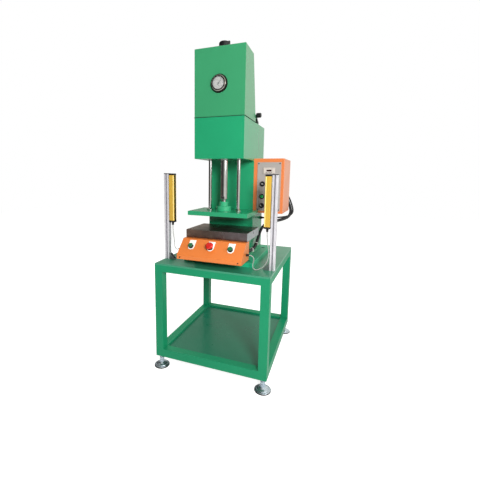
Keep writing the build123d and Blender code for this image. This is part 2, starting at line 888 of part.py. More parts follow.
lever_face = valve_block_right + lever_plate_gap
lever_tip_y = valve_shaft_y - lever_length * sin(radians(lever_lean))
lever_tip_z = valve_shaft_z + lever_length * cos(radians(lever_lean))
with BuildPart() as valve_lever:
    with BuildSketch(Plane.YZ.offset(lever_face)):
        with Locations((valve_shaft_y, valve_shaft_z)):
            Circle(lever_hub_radius)
        with Locations((lever_tip_y, lever_tip_z)):
            Circle(lever_width / 2)
        with Locations(((valve_shaft_y + lever_tip_y) / 2, (valve_shaft_z + lever_tip_z) / 2)):
            Rectangle(lever_width, lever_length, rotation=lever_lean)
    extrude(amount=lever_plate_thickness)
    with BuildSketch(Plane.YZ.offset(valve_block_right - valve_shaft_depth)):
        with Locations((valve_shaft_y, valve_shaft_z)):
            Circle(valve_shaft_radius)
    extrude(amount=valve_shaft_depth + lever_plate_gap)
    with BuildSketch(Plane.YZ.offset(lever_face + lever_plate_thickness)):
        with Locations((lever_tip_y, lever_tip_z)):
            Circle(grip_pin_radius)
    extrude(amount=grip_length - grip_edge)
save(valve_lever.part, "valve_lever")

with BuildPart() as lever_grip:
    with BuildSketch(Plane.YZ.offset(lever_face + lever_plate_thickness)):
        with Locations((lever_tip_y, lever_tip_z)):
            Circle(grip_radius)
    extrude(amount=grip_length)
    fillet(lever_grip.edges().sort_by(Axis.X)[-1], grip_edge)
    fillet(lever_grip.edges().sort_by(Axis.X)[0], grip_edge / 2)
    with BuildSketch(Plane.YZ.offset(lever_face + lever_plate_thickness)):
        with Locations((lever_tip_y, lever_tip_z)):
            Circle(grip_pin_radius + seat_gap)
    extrude(amount=grip_length - grip_edge, mode=Mode.SUBTRACT)
save(lever_grip.part, "lever_grip")

# Console: a folded housing with an upright lip and a slope, open at the back against the base,
# with a flange at each end beside the frame
console_width = bolster_width + 2 * console_overhang
console_front = head_front - console_depth
console_bottom = table_height + console_rise
console_top = seat_top - console_gap
slope_start = (console_front, console_bottom + console_lip_height)
slope_end = (head_front - console_top_depth, console_top)
slope_angle = atan2(slope_end[1] - slope_start[1], slope_end[0] - slope_start[0])
slope_normal = Vector(0, -sin(slope_angle), cos(slope_angle))


def slope_plane(x, lift=0):
    """A plane on the slope at one button's place, lifted along the slope's normal."""
    foot_point = Vector(
        x,
        slope_start[0] + button_up_slope * cos(slope_angle),
        slope_start[1] + button_up_slope * sin(slope_angle),
    )
    return Plane(origin=foot_point + slope_normal * lift, x_dir=(1, 0, 0), z_dir=slope_normal)


left_button_x = left_button_inset - console_width / 2
right_button_x = console_width / 2 - right_button_inset
button_xs = (left_button_x, stop_button_shift, right_button_x)

with BuildPart() as console_housing:
    with BuildSketch(Plane.YZ.offset(-console_width / 2)):
        with BuildLine():
            Polyline(
                (console_front, console_bottom),
                slope_start,
                slope_end,
                (head_front, console_top),
                (head_front, console_bottom),
                close=True,
            )
        make_face()
    extrude(amount=console_width)
    fillet(console_housing.edges().filter_by(Axis.X).filter_by_position(Axis.Y, -1000, head_front - 1), console_bend)
    offset(amount=-console_wall, openings=console_housing.faces().sort_by(Axis.Y)[-1])
    flange_width = console_width / 2 - frame_half
    with BuildSketch(Plane.XZ.offset(-head_front)):
        with Locations(
            (-(frame_half + flange_width / 2), (console_bottom + console_top) / 2),
            (frame_half + flange_width / 2, (console_bottom + console_top) / 2),
        ):
            Rectangle(flange_width, console_top - console_bottom)
    extrude(amount=console_wall)
    for button_x in button_xs:
        with BuildSketch(slope_plane(button_x)):
            Circle(cut_out_radius)
        extrude(amount=-2 * console_wall, mode=Mode.SUBTRACT)
save(console_housing.part, "console_housing")

with BuildPart() as legend_plates:
    for button_x in button_xs:
        with BuildSketch(slope_plane(button_x)):
            Circle(legend_radius)
            with Locations((0, legend_length / 2)):
                Rectangle(2 * legend_radius, legend_length)
            Circle(cut_out_radius, mode=Mode.SUBTRACT)
        extrude(amount=legend_thickness)
save(legend_plates.part, "legend_plates")

for side_name, button_x in (("left", left_button_x), ("right", right_button_x)):
    with BuildPart() as start_button:
        with BuildSketch(slope_plane(button_x, legend_thickness - button_depth)):
            Circle(button_radius)
        extrude(amount=button_depth + button_proud)
        with BuildSketch(slope_plane(button_x, legend_thickness + button_cap_rise)):
            Circle(button_cap_radius)
        extrude(amount=button_proud - button_cap_rise)
        fillet(start_button.faces().sort_by(Axis((0, 0, 0), tuple(slope_normal)))[-1].edges(), 1.5)
    save(start_button.part, f"start_button_{side_name}")

with BuildPart() as stop_plunger:
    with BuildSketch(slope_plane(stop_button_shift, legend_thickness - button_depth)):
        Circle(stop_plunger_radius)
    extrude(amount=button_depth + stop_plunger_reach)
save(stop_plunger.part, "stop_plunger")

stop_plane = slope_plane(stop_button_shift, legend_thickness)
with BuildPart() as stop_head:
    with BuildSketch(stop_plane.offset(stop_head_rise)):
        Circle(stop_head_radius)
    extrude(amount=stop_head_height)
    rims = stop_head.edges().sort_by(Axis((0, 0, 0), tuple(slope_normal)))
    fillet(rims[-1], stop_head_edge)
    chamfer(rims[0], stop_head_neck_height, stop_head_radius - stop_head_neck_radius)
    with BuildSketch(stop_plane):
        Circle(stop_plunger_radius + running_gap)
    extrude(amount=stop_plunger_reach + seat_gap, mode=Mode.SUBTRACT)
save(stop_head.part, "stop_head")

# Control box on the column's right side, with a screwed front panel
box_left = frame_half
box_right = box_left + box_width
box_top = head_bottom + box_rise
box_bottom = box_top - box_height
box_middle_x = (box_left + box_right) / 2
box_middle_y = (column_front + column_back) / 2
box_middle_z = (box_top + box_bottom) / 2
panel_z = box_middle_z - panel_sag
panel_x = box_middle_x + panel_shift
panel_left = panel_x - panel_width / 2
panel_top = panel_z + panel_height / 2
panel_front = column_front - panel_thickness
conduit_gland_place = (300, 1056)

with BuildPart() as control_box:
    with BuildSketch(Plane.XY.offset(box_bottom)):
        with Locations((box_middle_x, box_middle_y)):
            Rectangle(box_width, column_depth)
    extrude(amount=box_height)
    chamfer(control_box.faces().sort_by(Axis.X)[-1].edges(), 1.5)
    with BuildSketch(Plane.XY.offset(box_bottom + box_wall)):
        with Locations((box_middle_x, box_middle_y)):
            Rectangle(box_width - 2 * box_wall, column_depth - 2 * box_wall)
    extrude(amount=box_height - 2 * box_wall, mode=Mode.SUBTRACT)
    with BuildSketch(Plane.XZ.offset(-column_front)):
        with Locations((panel_x, panel_z)):
            Rectangle(panel_width - 2 * panel_lap, panel_height - 2 * panel_lap)
    extrude(amount=-2 * box_wall, mode=Mode.SUBTRACT)
    with BuildSketch(Plane.YZ.offset(box_right)):
        with Locations((box_middle_y, box_top - box_seam_inset), (box_middle_y, box_bottom + box_seam_inset)):
            Rectangle(column_depth + 2, box_seam_width)
    extrude(amount=-box_seam_depth, mode=Mode.SUBTRACT)
save(control_box.part, "control_box")


def panel_plane(x, z, lift=0):
    """A plane on the panel's front face that looks at the operator."""
    return Plane(origin=(x, panel_front - lift, z), x_dir=(1, 0, 0), z_dir=(0, -1, 0))


switch_x = panel_left + switch_inset
key_z = panel_top - switch_first_drop
lamp_z = panel_top - switch_second_drop
selector_z = panel_top - switch_third_drop
counter_z = panel_top - counter_drop

with BuildPart() as control_panel:
    with BuildSketch(panel_plane(panel_x, panel_z)):
        Rectangle(panel_width, panel_height)
        with Locations((0, counter_z - panel_z)):
            Rectangle(
                counter_width - 2 * counter_body_inset + 2 * seat_gap,
                counter_height - 2 * counter_body_inset + 2 * seat_gap,
                mode=Mode.SUBTRACT,
            )
        with Locations(
            (switch_x - panel_x, key_z - panel_z),
            (switch_x - panel_x, lamp_z - panel_z),
            (switch_x - panel_x, selector_z - panel_z),
        ):
            Circle(cut_out_radius, mode=Mode.SUBTRACT)
    extrude(amount=-panel_thickness)
save(control_panel.part, "control_panel")

with BuildPart() as counter:
    with BuildSketch(panel_plane(panel_x, counter_z)):
        Rectangle(counter_width, counter_height)
    extrude(amount=counter_bezel_height)
    chamfer(counter.faces().sort_by(Axis.Y)[0].edges(), 1.5)
    with BuildSketch(panel_plane(panel_x, counter_z)):
        Rectangle(counter_width - 2 * counter_body_inset, counter_height - 2 * counter_body_inset)
    extrude(amount=-counter_body_depth)
    with BuildSketch(panel_plane(panel_x, counter_z, counter_bezel_height)):
        Rectangle(counter_window_width, counter_window_height)
    extrude(amount=-counter_window_depth, mode=Mode.SUBTRACT)
save(counter.part, "counter")

# Bezels of all six switches: a ring on the panel and a threaded barrel through it
with BuildPart() as switch_bezels:
    bezel_seats = [
        (slope_plane(left_button_x, legend_thickness), bezel_radius, bezel_cup_height, button_radius),
        (slope_plane(stop_button_shift, legend_thickness), bezel_radius, bezel_height, stop_plunger_radius),
        (slope_plane(right_button_x, legend_thickness), bezel_radius, bezel_cup_height, button_radius),
        (panel_plane(switch_x, key_z), panel_bezel_radius, panel_bezel_height, button_radius),
        (panel_plane(switch_x, lamp_z), panel_bezel_radius, panel_bezel_height, button_radius),
        (panel_plane(switch_x, selector_z), panel_bezel_radius, panel_bezel_height, button_radius),
    ]
    for seat, ring_radius, ring_height, core_radius in bezel_seats:
        with BuildSketch(seat):
            Circle(ring_radius)
            Circle(core_radius + running_gap, mode=Mode.SUBTRACT)
        extrude(amount=ring_height)
        with BuildSketch(seat):
            Circle(barrel_outer_radius)
            Circle(core_radius + running_gap, mode=Mode.SUBTRACT)
        extrude(amount=-bezel_barrel_depth)
    for button_x in (left_button_x, right_button_x):
        with BuildSketch(slope_plane(button_x, legend_thickness + bezel_height)):
            Circle(button_cap_radius + button_gap)
        extrude(amount=bezel_cup_height - bezel_height, mode=Mode.SUBTRACT)
save(switch_bezels.part, "switch_bezels")

with BuildPart() as key_switch:
    with BuildSketch(panel_plane(switch_x, key_z, -button_depth)):
        Circle(button_radius)
    extrude(amount=button_depth + key_proud)
    with BuildSketch(panel_plane(switch_x, key_z, key_proud)):
        Rectangle(key_slot_length, key_slot_width)
    extrude(amount=-key_slot_depth, mode=Mode.SUBTRACT)
save(key_switch.part, "key_switch")

with BuildPart() as lamp_button:
    with BuildSketch(panel_plane(switch_x, lamp_z, -button_depth)):
        Circle(button_radius)
    extrude(amount=button_depth + lamp_proud)
    fillet(lamp_button.faces().sort_by(Axis.Y)[0].edges(), 3)
save(lamp_button.part, "lamp_button")

with BuildPart() as selector_knob:
    with BuildSketch(panel_plane(switch_x, selector_z, -button_depth)):
        Circle(button_radius)
    extrude(amount=button_depth + panel_bezel_height + button_gap)
    with BuildSketch(panel_plane(switch_x, selector_z, panel_bezel_height + button_gap)):
        Circle(barrel_outer_radius + 1)
    extrude(amount=selector_disc_height)
    with BuildSketch(panel_plane(switch_x, selector_z, panel_bezel_height + button_gap + selector_disc_height)):
        Rectangle(selector_handle_length, selector_handle_width, rotation=selector_angle)
    extrude(amount=selector_handle_height)
save(selector_knob.part, "selector_knob")

# Light curtain posts: slotted extrusion
with BuildSketch(mode=Mode.PRIVATE) as post_section:
    Rectangle(post_size, post_size)
    fillet(post_section.vertices(), post_corner_radius)
    with PolarLocations(post_size / 2 - slot_depth / 2, 4):
        Rectangle(slot_depth, slot_mouth, mode=Mode.SUBTRACT)
    with PolarLocations(post_size / 2 - (slot_lip + slot_depth) / 2, 4):
        Rectangle(slot_depth - slot_lip, slot_inner_width, mode=Mode.SUBTRACT)
    Circle(post_bore_radius, mode=Mode.SUBTRACT)

post_x = table_width / 2 - post_inset - post_size / 2
post_top = table_height + post_height
with BuildPart() as posts:
    with BuildSketch(Plane.XY.offset(table_height)):
        with Locations((-post_x, post_y), (post_x, post_y)):
            add(post_section.sketch)
    extrude(amount=post_height)
save(posts.part, "posts")

curtain_x = post_x - post_size / 2 - curtain_gap - curtain_width / 2
curtain_top = post_top + curtain_top_rise
housing_top = curtain_top - curtain_cap_height
housing_bottom = housing_top - curtain_length
curtain_bottom = housing_bottom - curtain_cap_height

with BuildPart() as curtain_housings:
    with BuildSketch(Plane.XY.offset(housing_bottom)) as housing_outline:
        with Locations((-curtain_x, post_y), (curtain_x, post_y)):
            Rectangle(curtain_width, curtain_depth)
        fillet(housing_outline.vertices(), 2)
        with Locations(
            (-curtain_x + curtain_width / 2, post_y),
            (curtain_x - curtain_width / 2, post_y),
        ):
            Rectangle(2 * lens_depth, lens_width, mode=Mode.SUBTRACT)
    extrude(amount=curtain_length)
save(curtain_housings.part, "curtain_housings")

lens_thickness = lens_depth - lens_setback
with BuildPart() as curtain_lenses:
    with BuildSketch(Plane.XY.offset(housing_bottom)):
        lens_x = curtain_x - curtain_width / 2 + lens_setback + lens_thickness / 2
        with Locations((-lens_x, post_y), (lens_x, post_y)):
            Rectangle(lens_thickness, lens_width - 2 * seat_gap)
    extrude(amount=curtain_length)
save(curtain_lenses.part, "curtain_lenses")

with BuildPart() as end_caps:
    for cap_floor in (housing_top, curtain_bottom):
        with BuildSketch(Plane.XY.offset(cap_floor)) as cap_outline:
            with Locations((-curtain_x, post_y), (curtain_x, post_y)):
                Rectangle(curtain_width + 1, curtain_depth + 1)
            fillet(cap_outline.vertices(), 2.5)
        extrude(amount=curtain_cap_height)
    with BuildSketch(Plane.XY.offset(post_top)) as post_cap_outline:
        with Locations((-post_x, post_y), (post_x, post_y)):
            Rectangle(post_size, post_size)
        fillet(post_cap_outline.vertices(), post_corner_radius)
    extrude(amount=end_cap_height)
save(end_caps.part, "end_caps")

# Gusseted corner brackets at the posts' feet and spacer plates behind the curtain housings
post_inner = post_x - post_size / 2
with BuildPart() as corner_brackets:
    for side in (-1, 1):
        heel_x = side * post_inner
        toe_x = side * (post_inner - bracket_size)
        with BuildSketch(Plane.XZ.offset(-post_y + bracket_width / 2)):
            with BuildLine():
                Polyline(
                    (heel_x, table_height),
                    (toe_x, table_height),
                    (toe_x, table_height + bracket_wall),
                    (heel_x - side * bracket_wall, table_height + bracket_size),
                    (heel_x, table_height + bracket_size),
                    close=True,
                )
            make_face()
        extrude(amount=-bracket_width)
        with BuildSketch(Plane.XZ.offset(-post_y + bracket_width / 2 - bracket_cheek)):
            with BuildLine():
                Polyline(
                    (heel_x - side * bracket_wall, table_height + bracket_wall),
                    (toe_x - side * bracket_wall, table_height + bracket_wall),
                    (heel_x - side * bracket_wall, table_height + 2 * bracket_size),
                    close=True,
                )
            make_face()
        extrude(amount=-(bracket_width - 2 * bracket_cheek), mode=Mode.SUBTRACT)
    for spacer_z in (housing_bottom + spacer_inset, housing_top - spacer_inset):
        with BuildSketch(Plane.XZ.offset(-post_y + spacer_width / 2)):
            with Locations(
                (-(post_inner - curtain_gap / 2), spacer_z),
                (post_inner - curtain_gap / 2, spacer_z),
            ):
                Rectangle(curtain_gap, spacer_height)
        extrude(amount=-spacer_width)
save(corner_brackets.part, "corner_brackets")

# Screws of the front panel, the console's lip and the rear cover
with BuildPart() as cover_screws:
    panel_screw_x = panel_width / 2 - panel_lap
    panel_screw_z = panel_height / 2 - panel_lap
    with BuildSketch(panel_plane(panel_x, panel_z)):
        with GridLocations(2 * panel_screw_x, 2 * panel_screw_z, 2, 2):
            Circle(screw_radius)
    extrude(amount=screw_height)
    lip_screw_x = console_width / 2 - 20
    with BuildSketch(Plane.XZ.offset(-console_front)):
        with Locations(
            (-lip_screw_x, console_bottom + console_lip_height / 2),
            (lip_screw_x, console_bottom + console_lip_height / 2),
        ):
            Circle(screw_radius)
    extrude(amount=screw_height)
    rear_screw_x = (rear_cover_width - rear_cover_lap) / 2
    rear_screw_z = (rear_cover_height - rear_cover_lap) / 2
    with BuildSketch(Plane.XZ.offset(-column_back - rear_cover_thickness)):
        with Locations((0, rear_opening_centre)):
            with GridLocations(2 * rear_screw_x, rear_screw_z, 2, 3):
                Circle(screw_radius)
    extrude(amount=-screw_height)
save(cover_screws.part, "cover_screws")

# Cable glands, seated on the faces that the cords leave from
console_side = console_width / 2
cable_gland_y = console_front + cable_entry_setback
cable_gland_z = console_bottom + cable_entry_rise
curtain_glands = [
    Plane(origin=(-curtain_x, post_y, curtain_bottom), z_dir=(0, 0, -1)),
    Plane(origin=(curtain_x, post_y, curtain_bottom), z_dir=(0, 0, -1)),
]
right_console_gland = Plane(origin=(console_side, cable_gland_y, cable_gland_z), z_dir=(1, 0, 0))
left_console_gland = Plane(origin=(-console_side, cable_gland_y, cable_gland_z), z_dir=(-1, 0, 0))
conduit_gland = Plane(origin=(conduit_gland_place[0], column_back, conduit_gland_place[1]), z_dir=(0, 1, 0))
console_back_gland = Plane(
    origin=(frame_half + conduit_entry_gap, head_front, console_bottom + conduit_entry_rise),
    z_dir=(0, 1, 0),
)
mains_gland = Plane(origin=(box_middle_x, column_back - 40, box_bottom), z_dir=(0, 0, -1))
gland_seats = [(seat, small_gland_radius, small_gland_length) for seat in curtain_glands]
gland_seats += [
    (right_console_gland, small_gland_radius, small_gland_length),
    (left_console_gland, small_gland_radius, small_gland_length),
    (conduit_gland, gland_radius, gland_length),
    (console_back_gland, gland_radius, gland_length),
    (mains_gland, gland_radius, gland_length),
]
with BuildPart() as cable_glands:
    for seat, hex_radius, length in gland_seats:
        with BuildSketch(seat):
            RegularPolygon(hex_radius, 6)
        extrude(amount=length * gland_hex_share)
        with BuildSketch(seat.offset(length * gland_hex_share)):
            Circle(hex_radius * gland_neck_share)
        extrude(amount=length * (1 - gland_hex_share))
save(cable_glands.part, "cable_glands")

# Cord routes, point by point, from gland to gland
conduit_route = [
    (300, 246, 1056),
    (300, 280, 1056),
    (307, 312, 1041),
    (321, 333, 1010),
    (335, 337, 973),
    (343, 322, 938),
    (335, 285, 911),
    (306, 228, 897),
    (260, 160, 890),
    (216, 112, 879),
    (189, 93, 854),
    (176, 80, 820),
    (170, 62, 784),
    (168, 34, 756),
    (168, -6, 740),
    (168, -60, 735),
    (168, -122, 737),
    (168, -182, 745),
    (168, -232, 745),
]
right_cable_route = [
    (297, -253, 885),
    (297, -253, 860),
    (305, -264, 818),
    (315, -276, 772),
    (313, -287, 732),
    (297, -292, 701),
    (274, -293, 681),
    (252, -294, 671),
    (238, -297, 676),
    (231, -300, 690),
    (234, -303, 711),
    (240, -306, 731),
    (237, -307, 746),
    (223, -307, 755),
    (212, -307, 755),
]
left_cable_route = [
    (-297, -253, 885),
    (-297, -253, 862),
    (-290, -262, 834),
    (-279, -272, 808),
    (-270, -283, 783),
    (-264, -292, 762),
    (-254, -299, 748),
    (-239, -304, 745),
    (-224, -307, 755),
    (-212, -307, 755),
]


def corner_radii(route):
    """The largest radius that each corner's two runs allow."""
    radii = []
    for before, corner, after in zip(route, route[1:], route[2:]):
        arriving = Vector(*corner) - Vector(*before)
        leaving = Vector(*after) - Vector(*corner)
        half_turn = radians(arriving.get_angle(leaving)) / 2
        radii.append(0.45 * min(arriving.length, leaving.length) / tan(half_turn))
    return radii


def cord(route, radius, name):
    """A round tube along straight runs joined by tangent arcs."""
    radii = corner_radii(route)
    with BuildPart() as tube:
        with BuildLine() as path:
            FilletPolyline(*route, radius=radii)
        with BuildSketch(Plane(origin=path.line @ 0, z_dir=path.line % 0)):
            Circle(radius)
        sweep(path=path.line)
    length = path.wires()[0].length
    expected = pi * radius**2 * length
    print(name, "length", round(length), "radii", [round(r) for r in radii])
    print(name, "volume against section times length", round(tube.part.volume / expected, 4))
    save(tube.part, name)


cord(conduit_route, conduit_radius, "conduit")
cord(right_cable_route, cable_radius, "right_cable")
cord(left_cable_route, cable_radius, "left_cable")
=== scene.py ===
import math

import bmesh
import bpy
import numpy as np
from mathutils import Matrix, Vector


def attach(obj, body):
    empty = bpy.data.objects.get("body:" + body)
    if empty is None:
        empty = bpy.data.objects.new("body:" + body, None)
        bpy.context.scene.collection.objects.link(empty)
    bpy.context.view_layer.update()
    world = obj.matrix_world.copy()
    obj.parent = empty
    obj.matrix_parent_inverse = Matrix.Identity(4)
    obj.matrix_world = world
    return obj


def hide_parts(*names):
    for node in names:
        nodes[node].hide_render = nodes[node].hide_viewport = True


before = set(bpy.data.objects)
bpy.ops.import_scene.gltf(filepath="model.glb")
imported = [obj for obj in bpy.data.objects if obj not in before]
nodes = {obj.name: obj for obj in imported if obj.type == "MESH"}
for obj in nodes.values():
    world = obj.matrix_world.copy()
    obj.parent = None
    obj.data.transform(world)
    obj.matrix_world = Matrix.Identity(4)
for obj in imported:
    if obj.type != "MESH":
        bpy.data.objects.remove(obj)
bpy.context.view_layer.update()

scene = bpy.context.scene
print("frame loaded:", len(nodes), "nodes")


# Settings for the camera. It stands to the right of the console, at the height of the throat.
cameraSettings = {
    "place": (0.6474, -1.9054, 1.1813),
    "yaw": -0.354,
    "pitch": -0.149,
    "roll": 0.014,
    "lens": 22.911,
    "shift": (0.0347, -0.0351),
}


def makeCamera(settings):
    # Yaw and pitch in radians turn the view from straight along Y, and roll tilts its sides
    yaw, pitch, roll = settings["yaw"], settings["pitch"], settings["roll"]
    ahead = Vector(
        (math.sin(yaw) * math.cos(pitch), math.cos(yaw) * math.cos(pitch), math.sin(pitch))
    )
    right = Vector((math.cos(yaw), -math.sin(yaw), 0))
    up = right.cross(ahead)
    tiltedRight = right * math.cos(roll) + up * math.sin(roll)
    tiltedUp = up * math.cos(roll) - right * math.sin(roll)
    cameraData = bpy.data.cameras.new("camera")
    cameraData.sensor_width = 36
    cameraData.lens = settings["lens"]
    cameraData.shift_x, cameraData.shift_y = settings["shift"]
    camera = bpy.data.objects.new("camera", cameraData)
    turn = Matrix((tiltedRight, tiltedUp, -ahead)).transposed()
    camera.matrix_world = Matrix.Translation(settings["place"]) @ turn.to_4x4()
    scene.collection.objects.link(camera)
    scene.camera = camera


makeCamera(cameraSettings)


def linear(hexColour):
    # sRGB to linear light, channel by channel
    channels = [int(hexColour[i : i + 2], 16) / 255 for i in (1, 3, 5)]
    return tuple(
        c / 12.92 if c <= 0.04045 else ((c + 0.055) / 1.055) ** 2.4 for c in channels
    ) + (1.0,)


def addNode(material, kind, values=None, **settings):
    node = material.node_tree.nodes.new(kind)
    for key, value in settings.items():
        setattr(node, key, value)
    for socket, value in (values or {}).items():
        if isinstance(value, bpy.types.NodeSocket):
            material.node_tree.links.new(value, node.inputs[socket])
        else:
            node.inputs[socket].default_value = value
    return node


def newMaterial(name, **surface):
    material = bpy.data.materials.new(name)
    material.use_nodes = True
    material.node_tree.nodes.clear()
    shader = addNode(material, "ShaderNodeBsdfPrincipled")
    output = addNode(material, "ShaderNodeOutputMaterial")
    material.node_tree.links.new(shader.outputs[0], output.inputs[0])
    for key, value in surface.items():
        shader.inputs[key.replace("_", " ")].default_value = value
    return material, shader


def grain(material, size, stretch=(1, 1, 1), detail=3.0, rough=0.5):
    # A noise whose blotches are about this many millimetres across, longer along a small stretch value
    place = addNode(material, "ShaderNodeTexCoord").outputs["Object"]
    mapped = addNode(material, "ShaderNodeMapping", {"Vector": place, "Scale": stretch})
    noise = addNode(
        material,
        "ShaderNodeTexNoise",
        {"Vector": mapped.outputs[0], "Scale": 1000 / size, "Detail": detail, "Roughness": rough},
    )
    return noise.outputs[0]


def ramp(material, factor, stops):
    node = addNode(material, "ShaderNodeValToRGB", {"Fac": factor})
    node.color_ramp.elements[0].position, node.color_ramp.elements[0].color = stops[0]
    node.color_ramp.elements[1].position, node.color_ramp.elements[1].color = stops[-1]
    for position, colour in stops[1:-1]:
        node.color_ramp.elements.new(position).color = colour
    return node.outputs["Color"]


def span(material, factor, low, high, start=0.3, end=0.7):
    # Carries a noise's middle range over to a range of roughness or height
    values = {"Value": factor, "From Min": start, "From Max": end, "To Min": low, "To Max": high}
    return addNode(material, "ShaderNodeMapRange", values).outputs[0]


def bump(material, shader, height, depth, edge=0.0, strength=1.0):
    # Depth is in millimetres. The edge radius rounds what is a sharp corner in the solid.
    values = {"Height": height, "Distance": depth / 1000, "Strength": strength}
    if edge:
        rounded = addNode(material, "ShaderNodeBevel", {"Radius": edge / 1000}, samples=4)
        values["Normal"] = rounded.outputs[0]
    relief = addNode(material, "ShaderNodeBump", values)
    material.node_tree.links.new(relief.outputs[0], shader.inputs["Normal"])


def shade(colour, factor):
    return tuple(min(1.0, c * factor) for c in colour[:3]) + (1.0,)


def mixed(material, factor, first, second, blend="MIX"):
    node = addNode(material, "ShaderNodeMix", data_type="RGBA", blend_type=blend)
    for socket, value in ((0, factor), (6, first), (7, second)):
        if isinstance(value, bpy.types.NodeSocket):
            material.node_tree.links.new(value, node.inputs[socket])
        else:
            node.inputs[socket].default_value = value
    return node.outputs[2]


def edgeMask(material, radius):
    # Near one at a corner: how far the rounded normal leans away from the flat one
    rounded = addNode(material, "ShaderNodeBevel", {"Radius": radius / 1000}, samples=4)
    flat = addNode(material, "ShaderNodeNewGeometry").outputs["Normal"]
    facing = {0: rounded.outputs[0], 1: flat}
    dot = addNode(material, "ShaderNodeVectorMath", facing, operation="DOT_PRODUCT")
    values = {"Value": dot.outputs["Value"], "From Min": 0.995, "From Max": 0.86}
    return addNode(material, "ShaderNodeMapRange", values).outputs[0]


def stovedEnamel(
    name, hexColour, peel=2.2, rough=(0.25, 0.27), edgeWearAndHighlight=0.3, edge=1.2, deep=0.96, coat=0.2, index=1.5
):
    # Sprayed and baked paint: orange peel, a slow drift of tone, and a thin light line along the edges that
    # is partly rubbed wear and partly painted highlight
    material, shader = newMaterial(name, IOR=index, Coat_Weight=coat, Coat_Roughness=0.12)
    base = linear(hexColour)
    drift = ramp(
        material,
        grain(material, 190, detail=4),
        [(0.3, shade(base, deep)), (0.55, base), (0.75, shade(base, 1.05))],
    )
    # Lighter edges: partly rubbed wear, partly a painted highlight on the rounded edge
    rubbedAndHighlitEdge = mixed(material, edgeMask(material, edge * 1.2), drift, shade(base, 1.35))
    tone = mixed(material, edgeWearAndHighlight, drift, rubbedAndHighlitEdge)
    material.node_tree.links.new(tone, shader.inputs["Base Color"])
    roughness = span(material, grain(material, 120, detail=1), *rough)
    material.node_tree.links.new(roughness, shader.inputs["Roughness"])
    bump(material, shader, grain(material, peel, detail=1), 0.006, edge)
    return material


def machinedMetal(name, hexColour, rough, lines, stretch, metallic=1.0, edge=0.6, relief=0.01, deep=0.8):
    # Cut, ground or drawn metal: fine parallel lines whose length follows the tool, and slow blotches
    material, shader = newMaterial(name, Metallic=metallic)
    base = linear(hexColour)
    cuts = grain(material, lines, stretch, detail=2)
    blotches = grain(material, 35, detail=5)
    tone = ramp(material, blotches, [(0.3, shade(base, deep)), (0.7, shade(base, 1.08))])
    streaked = ramp(material, cuts, [(0.3, (0.9, 0.9, 0.9, 1)), (0.7, (1, 1, 1, 1))])
    product = mixed(material, 1, tone, streaked, "MULTIPLY")
    material.node_tree.links.new(product, shader.inputs["Base Color"])
    roughness = span(material, cuts, *rough)
    material.node_tree.links.new(roughness, shader.inputs["Roughness"])
    bump(material, shader, cuts, relief, edge)
    return material


def mouldedPlastic(name, hexColour, rough=(0.35, 0.5), texture=0.6, relief=0.02, edge=0.5, coat=0.0):
    # Moulded plastic: a fine spark texture and a faint unevenness of gloss
    material, shader = newMaterial(name, IOR=1.46, Coat_Weight=coat, Coat_Roughness=0.05)
    base = linear(hexColour)
    tone = ramp(material, grain(material, 14, detail=4), [(0.35, shade(base, 0.86)), (0.7, shade(base, 1.1))])
    material.node_tree.links.new(tone, shader.inputs["Base Color"])
    roughness = span(material, grain(material, 9, detail=4), *rough)
    material.node_tree.links.new(roughness, shader.inputs["Roughness"])
    bump(material, shader, grain(material, texture, detail=2), relief, edge)
    return material


def darkenSlots(material, centre, half, hexColour):
    # Dust and shade in the slots of an extrusion: the tone falls where both distances from its axis are short
    place = addNode(material, "ShaderNodeTexCoord").outputs["Object"]
    parts = addNode(material, "ShaderNodeSeparateXYZ", {0: place}).outputs
    away = []
    for axis, value in (("X", centre[0]), ("Y", centre[1])):
        size = parts[axis]
        if axis == "X":
            size = addNode(material, "ShaderNodeMath", {0: size}, operation="ABSOLUTE").outputs[0]
        gap = addNode(material, "ShaderNodeMath", {0: size, 1: value}, operation="SUBTRACT")
        away.append(addNode(material, "ShaderNodeMath", {0: gap.outputs[0]}, operation="ABSOLUTE").outputs[0])
    farthest = addNode(material, "ShaderNodeMath", {0: away[0], 1: away[1]}, operation="MAXIMUM").outputs[0]
    values = {"Value": farthest, "From Min": half - 0.003, "From Max": half - 0.0005}
    atFace = addNode(material, "ShaderNodeMapRange", values).outputs[0]
    shader = next(node for node in material.node_tree.nodes if node.type == "BSDF_PRINCIPLED")
    face = shader.inputs["Base Color"].links[0].from_socket
    tone = mixed(material, atFace, linear(hexColour), face)
    material.node_tree.links.new(tone, shader.inputs["Base Color"])


greenEnamel = stovedEnamel("greenEnamelSprayed", "#1F8B5F", edgeWearAndHighlight=0.2)
coverEnamel = stovedEnamel("greenEnamelOnSheet", "#35885D", rough=(0.25, 0.27), edgeWearAndHighlight=0.12, deep=0.97)
tableEnamel = stovedEnamel("greenEnamelOnTable", "#2C8262", rough=(0.28, 0.36), edgeWearAndHighlight=0.2)
shelfEnamel = stovedEnamel(
    "greenEnamelOnShelf", "#1A6A50", rough=(0.26, 0.34), edgeWearAndHighlight=0.2, coat=0.1, index=1.42
)
# Ram hub: glossier, and lighter than the frame's green as a painted highlight
hubEnamelPaintedHighlight = stovedEnamel("greenEnamelOnHubPaintedHighlight", "#2A9A6C", rough=(0.14, 0.2), edgeWearAndHighlight=0.1, coat=0.8)
